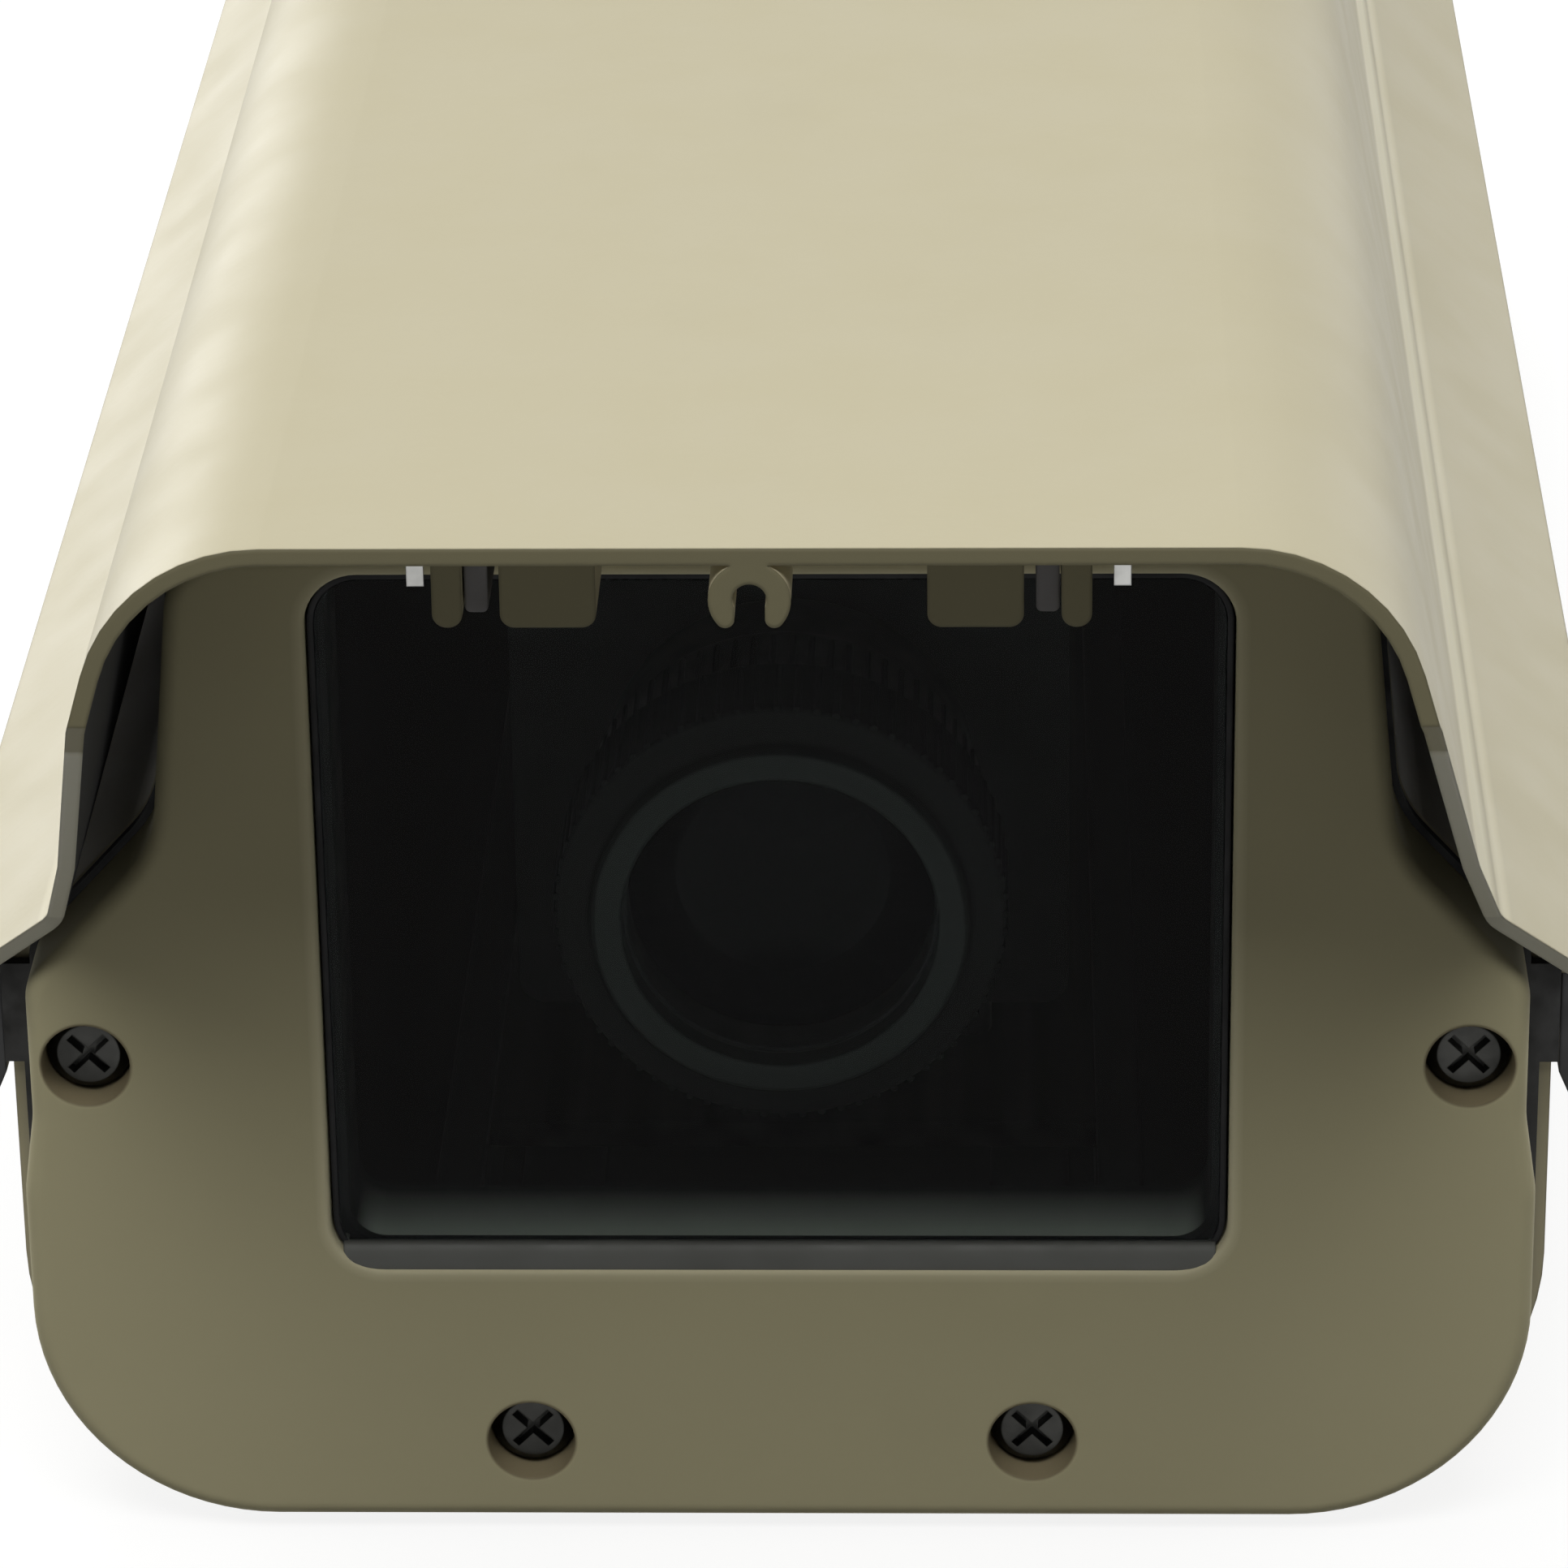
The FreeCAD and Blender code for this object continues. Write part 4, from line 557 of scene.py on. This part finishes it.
def ring_black_painted_lip_highlight(name):
    """Matt grip outside; a painted highlight makes the turned lip round the mouth lighter, by distance from
    the axis.
    """
    material, tree, shader = new_material(name)
    place = tree.nodes.new("ShaderNodeTexCoord")
    distance = chain(tree, "ShaderNodeVectorMath", place.outputs["Object"], ("MULTIPLY", (1, 0, 1)),
                     ("SUBTRACT", (0, 0, LENS_HEIGHT)), ("LENGTH", None))
    grip = spread(tree, distance, 0.0, 1.0, *LIP_TO_GRIP)
    base = tint(tree, grip, (0.020, 0.022, 0.021), (0.005, 0.0052, 0.005))
    surface(tree, shader, base, spread(tree, grip, 0.4, 0.75, 0, 1))
    shader.inputs["Specular IOR Level"].default_value = 0.2
    relief(tree, shader, [(noise(tree, place, 500, 3), 0.05, 0.0002)], 0.0003)
    return material


dress(black_anodised("black anodised aluminium"), "camera_sled", "camera_stand")
camera_coat = moulding("dark camera coat", (0.008, 0.008, 0.0085), (0.55, 0.7), shine=0.3)
dress(camera_coat, "camera_body")
dress(plated_steel("nickel connector", (0.66, 0.63, 0.57), (0.2, 0.32)), "camera_connector")
dress(moulding("matt lens black", (0.012, 0.012, 0.0125), (0.5, 0.65), shine=0.35), "lens_barrel",
      "zoom_ring", "sled_knob")
grip_black = ring_black_painted_lip_highlight("lens ring black")
dress(grip_black, "focus_ring")
dress(clear_pane("coated lens", (0.04, 0.05, 0.055), 1.15, 0.03), "lens_front_glass")


# Grips. Straight ribs are moulded round both lens rings and round the clamping knob.
# A Geometry Nodes tree sets round bars evenly on a circle, with their length along its axis.

def ribs_round_a_ring():
    tree, sizes = new_tree("ribs round a ring", ("Count", "Int"), ("Ring radius", "Float"),
                           ("Length", "Float"), ("Radius", "Float"))
    circle = tree.nodes.new("GeometryNodeMeshCircle")
    rib = add(tree, "GeometryNodeMeshCylinder", Vertices=10)
    join(tree, (sizes, "Count", circle, "Vertices"), (sizes, "Ring radius", circle, "Radius"),
         (sizes, "Length", rib, "Depth"), (sizes, "Radius", rib, "Radius"))
    return repeat_shape(tree, sizes, circle, rib)


ribs = ribs_round_a_ring()
ALONG_Y = (QUARTER, 0.0, 0.0)
for ring, count, length, reach, middle_y in (("focus", 72, 0.009, 0.0192, -0.1285),
                                             ("zoom", 66, 0.007, 0.0175, -0.1175)):
    grow(ring + "_ribs", ribs, ring, "lens_black", count=count, length=length, radius=0.00035,
         ring_radius=reach, turn=ALONG_Y, place=(0.0, middle_y, LENS_HEIGHT), finish=grip_black)
KNOB_RIBS_DOWN = 0.0032
low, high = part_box("sled_knob")
grow("knob_ribs", ribs, "knob", "lens_black", count=16, length=0.0035, radius=0.0009, ring_radius=0.0078,
     turn=UNTURNED, place=(*middle(low, high)[:2], high[2] - KNOB_RIBS_DOWN), finish=grip_black)


# Camera case. Its lid has cooling louvres and its back is held by four slotted screws.
# The screws are turned heads with a slot cut across; the same tree makes each row.

def slotted_screws():
    """Screw heads that face up and follow each other by a step."""
    tree, sizes = new_tree("slotted screws", ("Count", "Int"), ("Step", "Vector"), ("Radius", "Float"))
    line = tree.nodes.new("GeometryNodeMeshLine")
    head = add(tree, "GeometryNodeMeshCylinder", Vertices=24, Depth=0.0012)
    slot = add(tree, "GeometryNodeMeshCube", Size=(0.02, 0.0005, 0.0008))
    raised = add(tree, "GeometryNodeTransform", Translation=(0, 0, 0.0006))
    cut = add(tree, "GeometryNodeMeshBoolean", operation="DIFFERENCE")
    join(tree, (sizes, "Count", line, "Count"), (sizes, "Step", line, "Offset"),
         (sizes, "Radius", head, "Radius"), (slot, "Mesh", raised, "Geometry"),
         (head, "Mesh", cut, "Mesh 1"), (raised, "Geometry", cut, "Mesh 2"))
    return repeat_shape(tree, sizes, line, cut)


LOUVRES_BACK, SCREW_IN, SCREW_PROUD, SCREW_STEP = 0.015, 0.005, 0.0004, 0.04
case_low, case_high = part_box("camera_body")
grow("case_louvres", row_of_bars, "sled", "camera_case", count=9, step=(0.0, 0.004, 0.0), length=0.032,
     radius=0.0007, turn=UNTURNED, place=(0.0, case_low[1] + LOUVRES_BACK, case_high[2]), finish=camera_coat)
screws = slotted_screws()
small_screw = plated_steel("small screw zinc", (0.55, 0.54, 0.50), (0.3, 0.45))
for name, height in (("case_screws_low", case_low[2] + SCREW_IN),
                     ("case_screws_high", case_high[2] - SCREW_IN)):
    grow(name, screws, "sled", "screw_steel", count=2, step=(SCREW_STEP, 0.0, 0.0), radius=0.0021,
         turn=(-QUARTER, 0.0, 0.0), place=(-SCREW_STEP / 2, case_high[1] + SCREW_PROUD, height),
         finish=small_screw)


# Cable glands. Black nylon glands in the rear plate, each with a hexagon collar, a cap that
# squeezes a rubber seal, and a locknut on the inside.

GLAND_RIBS_BACK = 0.0045
gland_nylon = moulding("black gland nylon", (0.025, 0.025, 0.026), (0.34, 0.46))
dress(gland_nylon, "gland_body_left", "gland_body_right", "gland_cap_left", "gland_cap_right",
      "gland_locknut_left", "gland_locknut_right")
dress(rubber("gland seal rubber", (0.03, 0.03, 0.03)), "gland_seal_left", "gland_seal_right")
for side in ("left", "right"):
    low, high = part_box("gland_cap_" + side)
    centre = middle(low, high)
    grow("gland_ribs_" + side, ribs, "housing", "black_moulding", count=22, length=0.0065, radius=0.0006,
         ring_radius=(high[0] - low[0]) / 2, turn=ALONG_Y, finish=gland_nylon,
         place=(centre[0], low[1] + GLAND_RIBS_BACK, centre[2]))


# Supply board. A small green circuit board that stands on nylon spacers on the trough's floor.
# It has a row of screw terminals at its edge and four diodes on its face.

TERMINALS, TERMINAL_STEP, TERMINAL_SUNK = 8, 0.005, 0.0025
DIODE_ACROSS, DIODE_BACK, DIODE_UP = 0.014, 0.014, 0.0013
dress(moulding("solder resist", (0.015, 0.12, 0.04), (0.25, 0.35)), "supply_board")
dress(moulding("terminal moulding", (0.03, 0.20, 0.08), (0.35, 0.5)), "terminal_block")
dress(moulding("nylon spacer", (0.72, 0.72, 0.68), (0.45, 0.55)), "board_spacers")
board_low, board_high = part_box("supply_board")
low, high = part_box("terminal_block")
grow("terminal_screws", screws, "housing", "screw_steel", count=TERMINALS, step=(TERMINAL_STEP, 0.0, 0.0),
     radius=0.0014, turn=UNTURNED, finish=small_screw,
     place=(-TERMINAL_STEP * (TERMINALS - 1) / 2, middle(low, high)[1], high[2] - TERMINAL_SUNK))
grow("board_diodes", row_of_bars, "housing", "black_moulding", count=4, step=(0.0, 0.0045, 0.0), length=0.006,
     radius=0.0014, turn=UNTURNED, finish=gland_nylon,
     place=(DIODE_ACROSS, board_low[1] + DIODE_BACK, board_high[2] + DIODE_UP))


# Board parts. Two capacitors in plastic sleeves, with crimped necks and a stepped rim on top.
# A transformer cast in a black case with rounded edges. All are soldered to the board.

def seat(name, mesh, finish, degrees, body):
    """Puts a finished mesh into the scene as a piece of its own on a body."""
    mesh.materials.append(finish)
    soften(mesh, degrees)
    piece = bpy.data.objects.new(name, mesh)
    bpy.context.scene.collection.objects.link(piece)
    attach(piece, body)


def turned(name, outline, centre, steps=40):
    """A closed mesh turned about an upright axis; outline rows are (radius, height), first and last at 0."""
    angles = [2 * math.pi * i / steps for i in range(steps)]
    points = [(centre[0] + r * math.cos(a), centre[1] + r * math.sin(a), centre[2] + z)
              for r, z in outline[1:-1] for a in angles]
    bottom, top, last = len(points), len(points) + 1, len(points) - steps
    points += [(centre[0], centre[1], centre[2] + z) for z in (outline[0][1], outline[-1][1])]
    sides = [(i, (i + 1) % steps) for i in range(steps)]
    faces = [(ring + i, ring + j, ring + steps + j, ring + steps + i)
             for ring in range(0, last, steps) for i, j in sides]
    for i, j in sides:
        faces += [(bottom, j, i), (top, last + i, last + j)]
    mesh = bpy.data.meshes.new(name)
    mesh.from_pydata(points, [], faces)
    return mesh


CAPACITOR_BACK = 0.033
CAN = [(0, 0.0001), (0.0038, 0.0001), (0.004, 0.0006), (0.004, 0.0012), (0.0036, 0.0017), (0.004, 0.0022),
       (0.004, 0.0104), (0.0037, 0.011), (0.003, 0.011), (0.0029, 0.0107), (0, 0.0107)]
sleeve = moulding("capacitor sleeve", (0.03, 0.035, 0.09), (0.25, 0.35))
for name, across in (("capacitor_1", -0.004), ("capacitor_2", 0.005)):
    can = turned(name, CAN, (across, board_low[1] + CAPACITOR_BACK, board_high[2]))
    seat(name, can, sleeve, 35, "housing")

COIL_SIZE, COIL_EDGE = (0.019, 0.021, 0.0144), 0.0012
COIL_ACROSS, COIL_BACK, COIL_UP = -0.0125, 0.014, 0.0073
coil_case = bmesh.new()
bmesh.ops.create_cube(coil_case, size=1)
bmesh.ops.scale(coil_case, vec=COIL_SIZE, verts=coil_case.verts)
bmesh.ops.bevel(coil_case, geom=coil_case.edges[:], offset=COIL_EDGE, segments=3, affect="EDGES", profile=0.5)
bmesh.ops.translate(coil_case, vec=(COIL_ACROSS, board_low[1] + COIL_BACK, board_high[2] + COIL_UP),
                    verts=coil_case.verts)
coil_mesh = bpy.data.meshes.new("transformer")
coil_case.to_mesh(coil_mesh)
coil_case.free()
seat("transformer", coil_mesh, gland_nylon, 50, "housing")


# Studio. A pale floor under a white world, and four soft lamps: overhead, left, right and high in front.
# The camera looks down at the front end through a long lens.

def strongest(tree, *outputs):
    """The largest of several values."""
    value = outputs[0]
    for other in outputs[1:]:
        value = combine(tree, "MAXIMUM", value, other)
    return value


def white_ground(name):
    """A pale floor that reads white to the camera but keeps the object's shadow."""
    material, tree, shader = new_material(name)
    shader.inputs["Base Color"].default_value = (0.21, 0.21, 0.205, 1)
    shader.inputs["Roughness"].default_value = 0.9
    shader.inputs["Specular IOR Level"].default_value = 0.1
    path = tree.nodes.new("ShaderNodeLightPath")
    glow = add(tree, "ShaderNodeEmission", Strength=0.86)
    both = tree.nodes.new("ShaderNodeAddShader")
    mix = tree.nodes.new("ShaderNodeMixShader")
    output = next(n for n in tree.nodes if n.type == "OUTPUT_MATERIAL")
    seen = strongest(tree, path.outputs["Is Camera Ray"], path.outputs["Is Glossy Ray"])
    tree.links.new(seen, mix.inputs[0])
    join(tree, (shader, 0, both, 0), (glow, 0, both, 1), (shader, 0, mix, 1), (both, 0, mix, 2),
         (mix, 0, output, "Surface"))
    return material


FLOOR_REACH, FLOOR_HEIGHT = 6.0, -0.0002
floor_mesh = bpy.data.meshes.new("floor")
floor_mesh.from_pydata([(x * FLOOR_REACH, y * FLOOR_REACH, FLOOR_HEIGHT)
                        for x, y in ((-1, -1), (1, -1), (1, 1), (-1, 1))], [], [(0, 1, 2, 3)])
floor = bpy.data.objects.new("floor", floor_mesh)
bpy.context.scene.collection.objects.link(floor)
floor_mesh.materials.append(white_ground("pale floor"))

WORLD_LIGHT, WHITE = 0.02, 1.0
world = bpy.data.worlds.new("studio")
bpy.context.scene.world = world
world.use_nodes = True
sky = world.node_tree
background = next(n for n in sky.nodes if n.type == "BACKGROUND")
background.inputs["Color"].default_value = (1, 1, 1, 1)
path = sky.nodes.new("ShaderNodeLightPath")
seen = strongest(sky, *(path.outputs["Is %s Ray" % kind] for kind in ("Camera", "Transmission", "Glossy")))
sky.links.new(spread(sky, seen, WORLD_LIGHT, WHITE, 0, 1), background.inputs["Strength"])


def soft_lamp(name, place, aim, size, power):
    lamp = bpy.data.lights.new(name, "AREA")
    lamp.shape = "RECTANGLE"
    lamp.size, lamp.size_y = size
    lamp.energy = power
    obj = bpy.data.objects.new(name, lamp)
    obj.location = place
    obj.rotation_euler = (Vector(aim) - Vector(place)).to_track_quat("-Z", "Y").to_euler()
    bpy.context.scene.collection.objects.link(obj)


HOUSING, WINDOW_SIDE = (0, 0.05, 0.08), (0, -0.15, 0.05)
soft_lamp("overhead softbox", (-0.10, 0.60, 1.30), HOUSING, (1.4, 1.4), 7.2)
soft_lamp("left softbox", (-1.15, 1.10, 0.35), HOUSING, (1.6, 0.9), 14.8)
soft_lamp("right softbox", (1.30, 0.90, 0.48), HOUSING, (1.6, 0.9), 7.2)
soft_lamp("high front softbox", (-0.05, -0.70, 1.15), WINDOW_SIDE, (0.9, 0.6), 10)

camera_data = bpy.data.cameras.new("camera")
camera_data.sensor_width = 36
camera_data.lens = 163.64
camera_data.clip_start = 0.05
camera = bpy.data.objects.new("camera", camera_data)
bpy.context.scene.collection.objects.link(camera)
camera.location = (0.01843, -0.68057, 0.31866)
aimed = Matrix.Identity(4)
for degrees, axis in ((-0.10, "Z"), (65.0, "X"), (1.794, "Y")):
    aimed = aimed @ Matrix.Rotation(math.radians(degrees), 4, axis)
camera.rotation_euler = aimed.to_euler()
bpy.context.scene.camera = camera
bpy.context.scene.view_settings.view_transform = "Standard"
